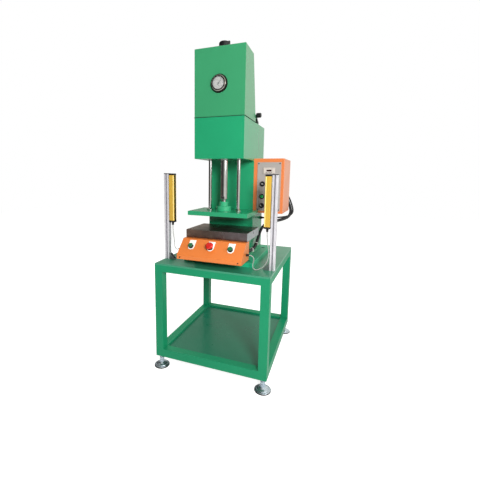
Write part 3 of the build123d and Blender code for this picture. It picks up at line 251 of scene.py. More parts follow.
# Base plate: a lighter copy of the frame's green, painted light for where the base is lit, with wide light
# edges that are partly wear and partly painted highlight
baseEnamelPaintedLight = stovedEnamel(
    "greenEnamelOnBasePaintedLight", "#209C72", rough=(0.34, 0.4), edgeWearAndHighlight=0.5, edge=2.0, coat=0.05, index=1.42
)
tubeEnamel = stovedEnamel("greenEnamelOnTubes", "#148159", rough=(0.4, 0.46), edgeWearAndHighlight=0.2, coat=0.0, index=1.34)
orangeEnamel = stovedEnamel("orangePowderCoat", "#CF7131", peel=1.4, rough=(0.28, 0.34))
boxEnamel = stovedEnamel("paleOrangePowderCoat", "#CC7341", peel=1.4, rough=(0.3, 0.36), edgeWearAndHighlight=0.15)
yellowCoat = stovedEnamel("yellowPowderCoat", "#BC9838", peel=1.0, rough=(0.35, 0.42), edge=0.8)
greyPanelCoat = stovedEnamel("greyPanelPaint", "#98918E", peel=0.9, rough=(0.4, 0.5), edge=0.4)


def groundBlock(name, faceColours, highlightColour, halfWidth):
    # A steel block ground on its faces, its tone running from brown at the left to grey at the right under
    # random blotches. Its right end face is a painted highlight of the light from the right, and its edges
    # are lighter, partly wear and partly painted highlight.
    material, shader = newMaterial(name, Metallic=0.9)
    place = addNode(material, "ShaderNodeTexCoord").outputs["Object"]
    along = addNode(material, "ShaderNodeSeparateXYZ", {0: place}).outputs["X"]
    # Mask of the right end face alone, where the painted highlight goes
    values = {"Value": along, "From Min": halfWidth - 0.0015, "From Max": halfWidth - 0.0005}
    rightEndHighlight = addNode(material, "ShaderNodeMapRange", values).outputs[0]
    across = {"Value": along, "From Min": -halfWidth, "From Max": halfWidth}
    share = addNode(material, "ShaderNodeMapRange", across)
    stops = zip((0.05, 0.4, 0.8), (linear(colour) for colour in faceColours))
    base = ramp(material, share.outputs[0], list(stops))
    blotches = ramp(
        material,
        grain(material, 45, detail=6, rough=0.6),
        [(0.3, (0.55, 0.55, 0.55, 1)), (0.5, (0.75, 0.75, 0.75, 1)), (0.72, (1, 1, 1, 1))],
    )
    toneAndBlotches = mixed(material, 1, base, blotches, "MULTIPLY")
    cuts = grain(material, 0.6, (0.03, 1, 1), detail=2)
    # Lighter edges: partly wear, partly painted highlight
    wornAndHighlitEdges = mixed(material, edgeMask(material, 1.5), toneAndBlotches, linear(highlightColour))
    tone = mixed(material, rightEndHighlight, wornAndHighlitEdges, linear(highlightColour))
    material.node_tree.links.new(tone, shader.inputs["Base Color"])
    dull = span(material, grain(material, 60, detail=5), 0.22, 0.45)
    material.node_tree.links.new(dull, shader.inputs["Roughness"])
    bump(material, shader, cuts, 0.008, 1.0)
    return material


groundSteel = groundBlock("surfaceGroundSteel", ("#8C7264", "#705F56", "#82787A"), "#B4BABE", 0.191)
turnedSteel = machinedMetal("turnedSteel", "#8C8D8F", (0.25, 0.4), 0.4, (0.05, 0.05, 1))
hardChrome = machinedMetal(
    "hardChromePlate", "#D8D8DA", (0.06, 0.1), 0.3, (0.05, 0.05, 1), edge=0.3, relief=0.0002, deep=0.97
)
zincPlate = machinedMetal(
    "brightZincPlate", "#C9D6E2", (0.2, 0.3), 0.8, (0.1, 0.1, 1), 0.95, edge=0.8, relief=0.004, deep=0.85
)
blackOxide = machinedMetal("blackOxideSteel", "#161515", (0.5, 0.65), 0.5, (1, 1, 1), 0.5, edge=0.5)
anodised = machinedMetal(
    "extrudedAnodisedAluminium",
    "#DAD8DE",
    (0.34, 0.4),
    0.8,
    (1, 1, 0.01),
    0.45,
    edge=0.4,
    relief=0.001,
    deep=0.96,
)
postSettings = {"centre": (0.333, -0.253), "half": 0.015, "slotColour": "#A3A1A8"}
darkenSlots(anodised, postSettings["centre"], postSettings["half"], postSettings["slotColour"])
castAluminium = machinedMetal("dieCastAluminium", "#9FA1A5", (0.4, 0.55), 1.2, (1, 1, 1), 0.9, relief=0.03)
blackCase = machinedMetal("blackLacqueredSteel", "#15120F", (0.2, 0.3), 0.5, (1, 1, 1), 0.4, relief=0.002)
smokedChrome = machinedMetal(
    "darkChromePlate", "#A59E99", (0.12, 0.2), 0.5, (1, 1, 1), relief=0.001, deep=0.95
)
bronze = machinedMetal("turnedBronze", "#A9803F", (0.25, 0.4), 0.4, (0.05, 0.05, 1))
blackPlastic = mouldedPlastic("blackMouldedPlastic", "#17171A")
glossBlack = mouldedPlastic("blackGlossPlastic", "#0D0A0E", (0.08, 0.16), coat=0.5)
beigePlastic = mouldedPlastic("beigeMouldedPlastic", "#BDB2AB")
whitePlastic = mouldedPlastic("whiteLegendPlastic", "#E9E8E4", (0.3, 0.42))
redPlastic = mouldedPlastic("redMouldedPlastic", "#BE1610", (0.16, 0.26), coat=0.4)
greenPlastic = mouldedPlastic("greenButtonPlastic", "#186340", (0.2, 0.3), coat=0.3)
greenLens = mouldedPlastic("greenLensPlastic", "#1FA858", (0.12, 0.22), coat=0.5)
dialPaper = mouldedPlastic("whiteDialEnamel", "#94918E", (0.35, 0.45), 0.4, 0.005)
cableSheath = mouldedPlastic("paleGreyCableSheath", "#989B98", (0.4, 0.55), 0.8, 0.01)
blackSheath = mouldedPlastic("blackCableSheath", "#19191B", (0.35, 0.45), 0.7, 0.01)
conduitNylon = mouldedPlastic("blackConduitNylon", "#1D1D1F", (0.3, 0.42), 0.7, 0.02)
whiteNylon = mouldedPlastic("whiteNylonTie", "#DDDCD6", (0.3, 0.45))
darkSeam = mouldedPlastic("darkSealingStrip", "#16281F", (0.6, 0.7))
footRubber = mouldedPlastic("blackFootRubber", "#1C1B1A", (0.6, 0.75))
digitGlow = mouldedPlastic("redDigitPlastic", "#5A1410", (0.2, 0.3))
print("materials made")


def clearGlass(name):
    # Flat gauge glass: seen straight through, with a gloss that shows the studio
    material, shader = newMaterial(name, Roughness=0.04, IOR=1.5, Alpha=0.12)
    tone = ramp(material, grain(material, 30), [(0.3, (0.86, 0.92, 0.9, 1)), (0.7, (0.95, 0.98, 0.97, 1))])
    material.node_tree.links.new(tone, shader.inputs["Base Color"])
    return material


gaugeGlass = clearGlass("flatGaugeGlass")


def dress(material, *names):
    for name in names:
        for materialSlot in nodes[name].material_slots:
            materialSlot.material = material


dress(
    greenEnamel,
    "frame_side_plates",
    "frame_front_plates",
    "frame_cross_plates",
    "frame_back_plate",
    "rear_cover",
    "platen",
)
dress(tubeEnamel, "table_legs", "top_rails", "bottom_rails")
dress(coverEnamel, "upper_cover")
dress(tableEnamel, "table_top")
dress(shelfEnamel, "shelf_plate")
dress(baseEnamelPaintedLight, "base_plate")
dress(orangeEnamel, "console_housing")
dress(boxEnamel, "control_box")
dress(yellowCoat, "curtain_housings")
dress(greyPanelCoat, "control_panel")
dress(groundSteel, "bolster")
dress(turnedSteel, "cylinder_barrel", "rod_gland", "piston", "oil_tank", "valve_lever")
dress(hardChrome, "piston_rod", "guide_rods")
dress(zincPlate, "foot_front_left", "foot_front_right", "foot_back_left", "foot_back_right", "foot_nuts")
dress(hubEnamelPaintedHighlight, "ram_hub")
dress(blackOxide, "base_bolts", "cover_screws", "gauge_case", "valve_block")
dress(anodised, "posts")
dress(castAluminium, "pump_motor", "corner_brackets")
dress(bronze, "guide_bushes")
dress(blackPlastic, "lever_grip", "filler_cap", "stop_plunger", "key_switch", "selector_knob")
dress(blackPlastic, "switch_bezels", "end_caps", "cable_glands", "gauge_needle")
dress(glossBlack, "curtain_lenses")
dress(beigePlastic, "counter")
dress(whitePlastic, "legend_plates")
dress(redPlastic, "stop_head")
dress(greenPlastic, "start_button_left", "start_button_right")
dress(greenLens, "lamp_button")
dress(dialPaper, "gauge_dial")
dress(gaugeGlass, "gauge_glass")


def closeShell(mesh, gap=1e-6):
    # Points closer than the gap become one, which closes the poles, and then every face is turned outwards
    shell = bmesh.new()
    shell.from_mesh(mesh)
    bmesh.ops.remove_doubles(shell, verts=shell.verts, dist=gap)
    bmesh.ops.recalc_face_normals(shell, faces=shell.faces)
    shell.to_mesh(mesh)
    shell.free()


def newPiece(name, vertices, faces, material, body, slotName, smooth=True):
    mesh = bpy.data.meshes.new(name)
    mesh.from_pydata(np.asarray(vertices, float).tolist(), [], [tuple(f) for f in faces])
    mesh.polygons.foreach_set("use_smooth", [smooth] * len(mesh.polygons))
    closeShell(mesh)
    mesh.materials.append(material)
    piece = bpy.data.objects.new(name, mesh)
    scene.collection.objects.link(piece)
    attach(piece, body)
    return piece


def gridFaces(rows, columns, closedRows=False, closedColumns=True, start=0):
    # Quads between neighbouring rows of a grid, wrapped round where a direction is closed
    faces = []
    for row in range(rows if closedRows else rows - 1):
        for column in range(columns if closedColumns else columns - 1):
            nextRow, nextColumn = (row + 1) % rows, (column + 1) % columns
            corners = (
                (row, column),
                (row, nextColumn),
                (nextRow, nextColumn),
                (nextRow, column),
            )
            faces.append([start + r * columns + c for r, c in corners])
    return faces


def crossAxes(direction):
    # Two unit directions square to the given one and to each other, then the given one at unit length
    ahead = np.array(direction, float) / np.linalg.norm(direction)
    helper = np.array((0, 0, 1.0)) if abs(ahead[2]) < 0.9 else np.array((1.0, 0, 0))
    side = np.cross(helper, ahead)
    side /= np.linalg.norm(side)
    return side, np.cross(ahead, side), ahead


def turned(profile, place, direction, steps=48, closed=True):
    # A profile of (radius, distance along the axis) points in metres, swept round the axis
    side, up, ahead = crossAxes(direction)
    angles = np.linspace(0, 2 * math.pi, steps, endpoint=False)
    ring = np.outer(np.cos(angles), side) + np.outer(np.sin(angles), up)
    rows = [np.array(place) + ring * radius + ahead * along for radius, along in profile]
    return np.concatenate(rows), gridFaces(len(profile), steps, closed)


def joined(shapes):
    # Several shapes as one: each shape's face numbers are moved on by the points that come before it
    points, faces, start = [], [], 0
    for shapeVertices, shapeFaces in shapes:
        points.append(np.asarray(shapeVertices, float))
        faces += [[start + i for i in face] for face in shapeFaces]
        start += len(points[-1])
    return np.concatenate(points), faces


def meshPoints(mesh):
    flat = np.empty(len(mesh.vertices) * 3, np.float32)
    mesh.vertices.foreach_get("co", flat)
    return flat.reshape(-1, 3).astype(float)


def block(centre, size, axes=None, edge=0.0):
    # A box with cut edges: 24 corners, each of the box's corners moved in along two of its edges
    axes = np.eye(3) if axes is None else np.array(axes)
    half = np.array(size) / 2
    signs = [np.array((x, y, z)) for x in (-1, 1) for y in (-1, 1) for z in (-1, 1)]
    vertices, index = [], {}
    for cornerId, sign in enumerate(signs):
        for axis in range(3):
            inset = half - edge
            inset[axis] = half[axis]
            index[cornerId, axis] = len(vertices)
            vertices.append(np.array(centre) + (sign * inset) @ axes)
    faces = []
    for axis in range(3):
        first, second = (axis + 1) % 3, (axis + 2) % 3
        for side in (-1, 1):
            order = []
            for a, b in ((-1, -1), (1, -1), (1, 1), (-1, 1)):
                sign = np.zeros(3)
                sign[axis], sign[first], sign[second] = side, a, b
                cornerId = next(i for i, s in enumerate(signs) if (s == sign).all())
                order.append(index[cornerId, axis])
            faces.append(order if side > 0 else order[::-1])
    for axis in range(3):
        first, second = (axis + 1) % 3, (axis + 2) % 3
        for a in (-1, 1):
            for b in (-1, 1):
                ends = []
                for along in (-1, 1):
                    sign = np.zeros(3)
                    sign[axis], sign[first], sign[second] = along, a, b
                    ends.append(next(i for i, s in enumerate(signs) if (s == sign).all()))
                strip = [
                    index[ends[0], first],
                    index[ends[1], first],
                    index[ends[1], second],
                    index[ends[0], second],
                ]
                faces.append(strip if a * b < 0 else strip[::-1])
    for cornerId, sign in enumerate(signs):
        triple = [index[cornerId, axis] for axis in range(3)]
        faces.append(triple if sign.prod() > 0 else triple[::-1])
    return vertices, faces


# Cords: the same routes as the solids, drawn as smooth splines
conduitRoute = [
    (0.300, 0.246, 1.056),
    (0.300, 0.280, 1.056),
    (0.307, 0.312, 1.041),
    (0.321, 0.333, 1.010),
    (0.335, 0.337, 0.973),
    (0.343, 0.322, 0.938),
    (0.335, 0.285, 0.911),
    (0.306, 0.228, 0.897),
    (0.260, 0.160, 0.890),
    (0.216, 0.112, 0.879),
    (0.189, 0.093, 0.854),
    (0.176, 0.080, 0.820),
    (0.170, 0.062, 0.784),
    (0.168, 0.034, 0.756),
    (0.168, -0.006, 0.740),
    (0.168, -0.060, 0.735),
    (0.168, -0.122, 0.737),
    (0.168, -0.182, 0.745),
    (0.168, -0.232, 0.745),
]
rightCableRoute = [
    (0.297, -0.253, 0.885),
    (0.297, -0.253, 0.860),
    (0.305, -0.264, 0.818),
    (0.315, -0.276, 0.772),
    (0.313, -0.287, 0.732),
    (0.297, -0.292, 0.701),
    (0.274, -0.293, 0.681),
    (0.252, -0.294, 0.671),
    (0.238, -0.297, 0.676),
    (0.231, -0.300, 0.690),
    (0.234, -0.303, 0.711),
    (0.240, -0.306, 0.731),
    (0.237, -0.307, 0.746),
    (0.223, -0.307, 0.755),
    (0.212, -0.307, 0.755),
]
leftCableRoute = [
    (-0.297, -0.253, 0.885),
    (-0.297, -0.253, 0.862),
    (-0.290, -0.262, 0.834),
    (-0.279, -0.272, 0.808),
    (-0.270, -0.283, 0.783),
    (-0.264, -0.292, 0.762),
    (-0.254, -0.299, 0.748),
    (-0.239, -0.304, 0.745),
    (-0.224, -0.307, 0.755),
    (-0.212, -0.307, 0.755),
]


def cordCurve(name, route, bevel):
    curve = bpy.data.curves.new(name, "CURVE")
    curve.dimensions = "3D"
    curve.resolution_u = 12
    curve.bevel_depth = bevel
    curve.bevel_resolution = 4
    curve.use_fill_caps = True
    spline = curve.splines.new("NURBS")
    spline.points.add(len(route) - 1)
    for point, place in zip(spline.points, route):
        point.co = (*place, 1)
    spline.order_u = 3
    spline.use_endpoint_u = True
    return bpy.data.objects.new(name, curve)


def centreLine(route):
    # The spline as Blender draws it, read back as points
    probe = cordCurve("probe", route, 0)
    scene.collection.objects.link(probe)
    bpy.context.view_layer.update()
    mesh = bpy.data.meshes.new_from_object(probe.evaluated_get(bpy.context.evaluated_depsgraph_get()))
    points = meshPoints(mesh)
    bpy.data.objects.remove(probe)
    bpy.data.meshes.remove(mesh)
    return points


def spaced(points, step):
    # The line again, as points an equal distance apart
    runs = np.linalg.norm(np.diff(points, axis=0), axis=1)
    along = np.concatenate(([0], np.cumsum(runs)))
    count = max(2, int(round(along[-1] / step)) + 1)
    wanted = np.linspace(0, along[-1], count)
    return np.stack([np.interp(wanted, along, points[:, k]) for k in range(3)], 1), along[-1]


cableSettings = {"diameter": 0.005}
for cableName, nodeName, route in (
    ("leftCableSheath", "left_cable", leftCableRoute),
    ("rightCableSheath", "right_cable", rightCableRoute),
):
    cable = cordCurve(cableName, route, cableSettings["diameter"] / 2)
    cable.data.materials.append(cableSheath)
    scene.collection.objects.link(cable)
    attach(cable, "stand")
    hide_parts(nodeName)
    _, cableLength = spaced(centreLine(route), 0.002)
    print(cableName, round(cableLength, 3))

# The conduit: a tube whose radius waves along it, with one ridge every few millimetres
conduitSettings = {
    "radius": 0.010,
    "ridge": 0.0011,
    "pitch": 0.0042,
    "cut": 0.6,
    "ringsPerRidge": 6,
    "around": 28,
}


def ribbedTube(points, settings):
    # Rings square to the line. Their radius follows a cosine along it, cut flat at its tops and bottoms.
    tangents = np.gradient(points, axis=0)
    tangents /= np.linalg.norm(tangents, axis=1)[:, None]
    side, _, _ = crossAxes(tangents[0])
    angles = np.linspace(0, 2 * math.pi, settings["around"], endpoint=False)
    step = settings["pitch"] / settings["ringsPerRidge"]
    vertices = []
    for number, (point, tangent) in enumerate(zip(points, tangents)):
        side = side - tangent * side.dot(tangent)
        side /= np.linalg.norm(side)
        up = np.cross(tangent, side)
        wave = math.cos(2 * math.pi * number * step / settings["pitch"])
        flat = max(-settings["cut"], min(settings["cut"], wave)) / settings["cut"]
        radius = settings["radius"] - settings["ridge"] * (1 - flat) / 2
        ring = np.outer(np.cos(angles), side) + np.outer(np.sin(angles), up)
        vertices.append(point + ring * radius)
    faces = gridFaces(len(points), settings["around"])
    last = (len(points) - 1) * settings["around"]
    faces.append(list(range(settings["around"]))[::-1])
    faces.append([last + i for i in range(settings["around"])])
    return np.concatenate(vertices), faces


conduitLine, conduitLength = spaced(
    centreLine(conduitRoute), conduitSettings["pitch"] / conduitSettings["ringsPerRidge"]
)
conduitVertices, conduitFaces = ribbedTube(conduitLine, conduitSettings)
conduit = newPiece(
    "conduitRibbed", conduitVertices, conduitFaces, conduitNylon, "stand", "cable_rubber"
)
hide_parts("conduit")

# Cable ties round the conduit: a strap, its square head and a cut tail
tieSettings = {
    "strap": 0.0005,
    "width": 0.0048,
    "head": (0.008, 0.006, 0.005),
    "sunk": 0.0005,
    "tail": (0.011, 0.0012),
    "tailShift": 0.006,
    "places": (0.705, 0.835),
}


def cableTie(share):
    # The share is how far along the conduit the tie sits, from 0 to 1
    number = int(share * (len(conduitLine) - 1))
    place = conduitLine[number]
    ahead = conduitLine[number + 1] - conduitLine[number - 1]
    radius, half = conduitSettings["radius"], tieSettings["width"] / 2
    outer = radius + 2 * tieSettings["strap"]
    loop = [(radius, -half), (outer, -half), (outer, half), (radius, half)]
    strap = turned(loop, place, ahead, 40)
    side, up, along = crossAxes(ahead)
    outward = side * 0.8 - up * 0.6
    tangent = np.cross(along, outward)
    headHeight = tieSettings["head"][2]
    axes = np.array((along, tangent, outward))
    headPlace = place + outward * (outer + headHeight / 2 - tieSettings["sunk"])
    head = block(headPlace, tieSettings["head"], axes, 0.0006)
    tailPlace = place + outward * (outer + headHeight * 0.6) + tangent * tieSettings["tailShift"]
    tail = block(tailPlace, (tieSettings["width"], *tieSettings["tail"]), axes, 0.0003)
    return joined([strap, head, tail])


for tieNumber, share in enumerate(tieSettings["places"]):
    tieVertices, tieFaces = cableTie(share)
    newPiece(f"cableTie{tieNumber}", tieVertices, tieFaces, whiteNylon, "stand", "white_plastic", False)
print("conduit", round(conduitLength, 3))

# Motor lead: a black cable beside the conduit's loop, from the box's back into the frame's side
motorLeadSettings = {"diameter": 0.011}
motorLeadRoute = [
    (0.325, 0.243, 1.062),
    (0.325, 0.270, 1.062),
    (0.322, 0.301, 1.055),
    (0.333, 0.332, 1.026),
    (0.347, 0.341, 0.986),
    (0.359, 0.325, 0.946),
    (0.351, 0.283, 0.924),
    (0.324, 0.236, 0.916),
    (0.288, 0.204, 0.912),
    (0.248, 0.190, 0.909),
    (0.208, 0.188, 0.906),
    (0.182, 0.188, 0.905),
    (0.163, 0.188, 0.905),
]
# Its glands: a hexagon nut and a rounded cap, as (radius, distance from the wall)
glandNut = [(0.0056, 0), (0.0105, 0), (0.0105, 0.007), (0.0056, 0.007)]
glandCap = [(0.0056, 0.0068), (0.0085, 0.0068), (0.0085, 0.0130), (0.0074, 0.0168), (0.0056, 0.0180)]

motorLead = cordCurve("motorLeadSheath", motorLeadRoute, motorLeadSettings["diameter"] / 2)
motorLead.data.materials.append(blackSheath)
scene.collection.objects.link(motorLead)
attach(motorLead, "stand")
_, motorLeadLength = spaced(centreLine(motorLeadRoute), 0.002)
for glandName, place, direction in (
    ("motorLeadBoxGland", (0.325, 0.228, 1.062), (0, 1, 0)),
    ("motorLeadFrameGland", (0.150, 0.188, 0.905), (1, 0, 0)),
):
    glandParts = [turned(glandNut, place, direction, 6), turned(glandCap, place, direction, 28)]
    newPiece(glandName, *joined(glandParts), blackPlastic, "stand", "black_plastic", False)
print("motor lead", round(motorLeadLength, 3))

# Pressure gauge: a polished ring round its case, marks and numbers
gaugeSettings = {
    "centre": (0, 0, 1.692),
    "dial": -0.2576,
    "ring": -0.2542,
    "numberRadius": 0.0205,
    "numberSize": 0.0064,
    "markRadius": 0.0280,
    "start": 135,
    "sweep": 270,
    "numbers": 6,
    "marksPerNumber": 5,
    "around": 96,
}


def gaugePlace(angle, radius, depth):
    # The angle counts clockwise from the top, as the operator sees the dial
    turn = math.radians(angle)
    x, _, z = gaugeSettings["centre"]
    return np.array((x + radius * math.sin(turn), depth, z + radius * math.cos(turn)))


def gaugeRing(profile):
    # A profile of (radius, distance in front of the cover), swept round the gauge's axis
    x, _, z = gaugeSettings["centre"]
    return turned(profile, (x, gaugeSettings["ring"], z), (0, -1, 0), gaugeSettings["around"])


gaugeCaseRing = gaugeRing(
    [
        (0.0426, 0),
        (0.0464, 0.0002),
        (0.0470, 0.0020),
        (0.0468, 0.0040),
        (0.0458, 0.0062),
        (0.0444, 0.0076),
        (0.0426, 0.0078),
    ]
)
newPiece("gaugeCaseRing", *gaugeCaseRing, blackCase, "stand", "black_steel")
gaugeGlassRing = gaugeRing(
    [
        (0.0422, 0.0070),
        (0.0437, 0.0076),
        (0.0430, 0.0096),
        (0.0415, 0.0115),
        (0.0398, 0.0128),
        (0.0380, 0.0134),
        (0.0371, 0.0130),
        (0.0371, 0.0100),
    ]
)
newPiece("gaugeGlassRing", *gaugeGlassRing, smokedChrome, "stand", "chrome_steel")
# A black seal ring inside the glass ring, which also stands in for the shade at the ring's inner step as
# painted shade
gaugeSealAndShade = gaugeRing(
    [(0.0330, 0.0040), (0.0373, 0.0040), (0.0373, 0.0116), (0.0364, 0.0121), (0.0336, 0.0108)]
)
newPiece("gaugeSealAndShade", *gaugeSealAndShade, blackPlastic, "stand", "black_plastic")

marks = []
markCount = (gaugeSettings["numbers"] - 1) * gaugeSettings["marksPerNumber"]
for mark in range(markCount + 1):
    angle = -gaugeSettings["start"] + gaugeSettings["sweep"] * mark / markCount
    isLong = mark % gaugeSettings["marksPerNumber"] == 0
    length, width = (0.0050, 0.0009) if isLong else (0.0032, 0.0005)
    place = gaugePlace(angle, gaugeSettings["markRadius"], gaugeSettings["dial"])
    turn = math.radians(angle)
    axes = ((math.cos(turn), 0, -math.sin(turn)), (0, 1, 0), (math.sin(turn), 0, math.cos(turn)))
    marks.append(block(place, (width, 0.0003, length), axes, 0.00005))


def plainNumber(text, size, place):
    # Figures cut from the built-in typeface, standing upright and facing the operator
    figure = bpy.data.curves.new("figure", "FONT")
    figure.body = text
    figure.size = size
    figure.align_x = "CENTER"
    figure.align_y = "CENTER"
    figure.extrude = 0.0001
    probe = bpy.data.objects.new("figure", figure)
    scene.collection.objects.link(probe)
    bpy.context.view_layer.update()
    mesh = bpy.data.meshes.new_from_object(probe.evaluated_get(bpy.context.evaluated_depsgraph_get()))
    shape = np.array(place) + meshPoints(mesh)[:, [0, 2, 1]] * (1, -1, 1)
    faces = [list(p.vertices) for p in mesh.polygons]
    bpy.data.objects.remove(probe)
    bpy.data.meshes.remove(mesh)
    return shape, faces


for number in range(gaugeSettings["numbers"]):
    angle = -gaugeSettings["start"] + gaugeSettings["sweep"] * number / (gaugeSettings["numbers"] - 1)
    place = gaugePlace(angle, gaugeSettings["numberRadius"], gaugeSettings["dial"])
    marks.append(plainNumber(str(number * 5), gaugeSettings["numberSize"], place))
markVertices, markFaces = joined(marks)
newPiece("gaugeMarks", markVertices, markFaces, blackPlastic, "stand", "black_plastic", False)
print("gauge done")

# Counter: a dark window with four plain figures, and a row of keys below
counterSettings = {
    "centre": (0.247, 1.2255),
    "front": -0.028,
    "window": (0.032, 0.010),
    "fit": 0.0004,
    "figureSize": 0.0095,
    "keys": 4,
    "keySize": (0.007, 0.0012, 0.0036),
    "keyPitch": 0.011,
    "keyDrop": 0.0125,
}
counterX, counterZ = counterSettings["centre"]
windowFloor = counterSettings["front"] + 0.0015
windowWidth, windowHeight = counterSettings["window"]
windowFit = counterSettings["fit"]
windowShape = block(
    (counterX, windowFloor - windowFit, counterZ),
    (windowWidth - windowFit, 2 * windowFit, windowHeight - windowFit),
    edge=0.0002,
)
newPiece("counterWindow", *windowShape, glossBlack, "stand", "lens_plastic", False)
figurePlace = (counterX, windowFloor - 0.0009, counterZ)
figures = plainNumber("0 0 0 0", counterSettings["figureSize"], figurePlace)
newPiece("counterFigures", *figures, digitGlow, "stand", "red_plastic", False)
keys = []
for key in range(counterSettings["keys"]):
    keyX = counterX + counterSettings["keyPitch"] * (key - (counterSettings["keys"] - 1) / 2)
    keyPlace = (keyX, counterSettings["front"] - 0.0003, counterZ - counterSettings["keyDrop"])
    keys.append(block(keyPlace, counterSettings["keySize"], edge=0.0003))
keyVertices, keyFaces = joined(keys)
newPiece("counterKeys", keyVertices, keyFaces, blackPlastic, "stand", "black_plastic", False)

# White pointer lines on the fronts of the key switch and the selector knob
pointerSettings = {
    "key": {"place": (0.2065, -0.0292, 1.1435), "size": (0.0115, 0.0036), "angle": 0},
    "selector": {"place": (0.2043, -0.0414, 1.0107), "size": (0.0150, 0.0034), "angle": 135},
    "thickness": 0.0006,
}


def pointer(name, place, size, angle, body):
    # A thin block on a knob's face, turned about the knob's axis by the angle in degrees
    length, width = size
    turn = math.radians(angle)
    axes = ((math.cos(turn), 0, math.sin(turn)), (0, 1, 0), (-math.sin(turn), 0, math.cos(turn)))
    line = block(place, (length, pointerSettings["thickness"], width), axes, 0.0001)
    newPiece(name, *line, whitePlastic, body, "white_plastic", False)


pointer("keyPointer", **pointerSettings["key"], body="key_switch")
pointer("selectorPointer", **pointerSettings["selector"], body="selector_knob")
print("panel done")

# Light curtains: a pale strip beside the lens on each housing
curtainSettings = {"inner": 0.280, "front": -0.268, "low": 0.916, "high": 1.187}
strips = []
for side in (-1, 1):
    stripX = side * (curtainSettings["inner"] + 0.0045)
    middle = (curtainSettings["low"] + curtainSettings["high"]) / 2
    strips.append(
        block(
            (stripX, curtainSettings["front"], middle),
            (0.005, 0.0006, curtainSettings["high"] - curtainSettings["low"]),
            edge=0.0002,
        )
    )
stripVertices, stripFaces = joined(strips)
paleStrip = stovedEnamel("paleYellowStrip", "#F6DC8E", peel=1.0, rough=(0.35, 0.45), edge=0.3)
newPiece("curtainStrips", stripVertices, stripFaces, paleStrip, "stand", "yellow_paint", False)


def socketScrew(place, direction, radius, height):
    # Head with a rounded rim and a round socket sunk into it
    rim = height * 0.15
    head = turned(
        [
            (0, 0),
            (radius, 0),
            (radius, height - rim),
            (radius - rim, height),
            (radius * 0.58, height),
            (radius * 0.5, height * 0.5),
            (0, height * 0.5),
        ],
        place,
        direction,
        36,
        closed=False,
    )
    return head


bracketSettings = {"heel": 0.318, "wall": 0.005, "table": 0.668, "reach": 0.021, "y": -0.253}
bracketScrews = []
for side in (-1, 1):
    toe = side * (bracketSettings["heel"] - bracketSettings["reach"])
    wallTop = bracketSettings["table"] + bracketSettings["wall"]
    bracketScrews.append(socketScrew((toe, bracketSettings["y"], wallTop), (0, 0, 1), 0.0065, 0.006))
    wallX = side * (bracketSettings["heel"] - bracketSettings["wall"])
    bracketScrews.append(
        socketScrew((wallX, bracketSettings["y"], wallTop + 0.017), (-side, 0, 0), 0.0065, 0.006)
    )
screwVertices, screwFaces = joined(bracketScrews)
newPiece("bracketScrews", screwVertices, screwFaces, blackOxide, "stand", "black_steel")

# Dark sealing strip in the joint between the head and its upper cover
seamSettings = {
    "height": 1.517,
    "half": 0.0012,
    "near": 0.0004,
    "far": 0.003,
    "side": 0.150,
    "front": -0.250,
    "back": -0.012,
}


def seamStrip():
    # A square-cut strip all round the joint: it starts just clear of the head's outline and stands 3 mm proud
    side, front, back = (seamSettings[key] for key in ("side", "front", "back"))
    outline = [(-side, front), (side, front), (side, back), (-side, back)]
    middleY = (front + back) / 2
    vertices = []
    for low in (True, False):
        z = seamSettings["height"] + (-seamSettings["half"] if low else seamSettings["half"])
        for out in (seamSettings["near"], seamSettings["far"]):
            for x, y in outline:
                outX, outY = math.copysign(out, x), math.copysign(out, y - middleY)
                vertices.append((x + outX, y + outY, z))
    faces = []
    for k in range(4):
        n = (k + 1) % 4
        faces.append((k, n, 8 + n, 8 + k))
        faces.append((8 + k, 8 + n, 12 + n, 12 + k))
        faces.append((4 + n, 4 + k, 12 + k, 12 + n))
        faces.append((n, k, 4 + k, 4 + n))
    return vertices, faces


newPiece("headSeam", *seamStrip(), darkSeam, "stand", "black_plastic", False)

# Rubber rings under the foot pads, and the collars that hold their studs, as (radius, height)
footCollar = [
    (0.0078, 0.0392),
    (0.0134, 0.0392),
    (0.0140, 0.0405),
    (0.0140, 0.0560),
    (0.0126, 0.0580),
    (0.0078, 0.0580),
]
footSettings = {"x": 0.325, "y": 0.359, "radius": 0.0462, "height": 0.0048}
radius, height = footSettings["radius"], footSettings["height"]
footRing = [
    (radius - 0.006, 0.0002),
    (radius + 0.0008, 0.0002),
    (radius + 0.0008, height),
    (radius - 0.0005, height + 0.0008),
]
for bodyName, x, y in (
    ("foot_front_left", -1, -1),
    ("foot_front_right", 1, -1),
    ("foot_back_left", -1, 1),
    ("foot_back_right", 1, 1),
):
    footPlace = (x * footSettings["x"], y * footSettings["y"], 0)
    ring = turned(footRing, footPlace, (0, 0, 1), 64)
    newPiece(f"{bodyName}_ring", *ring, footRubber, bodyName, "cable_rubber")
    collar = turned(footCollar, footPlace, (0, 0, 1), 48)
    newPiece(f"{bodyName}_collar", *collar, zincPlate, bodyName, "zinc_steel")

# Weld beads along the foot of the press frame: a rippled roll of metal under the paint
weldSettings = {
    "radius": 0.0045,
    "ripple": 0.0007,
    "pitch": 0.004,
    "ringsPerRipple": 4,
    "around": 8,
    "height": 0.6935,
    "side": 0.1505,
    "sideEnds": (-0.245, 0.224),
    "back": 0.2285,
    "backHalf": 0.130,
}


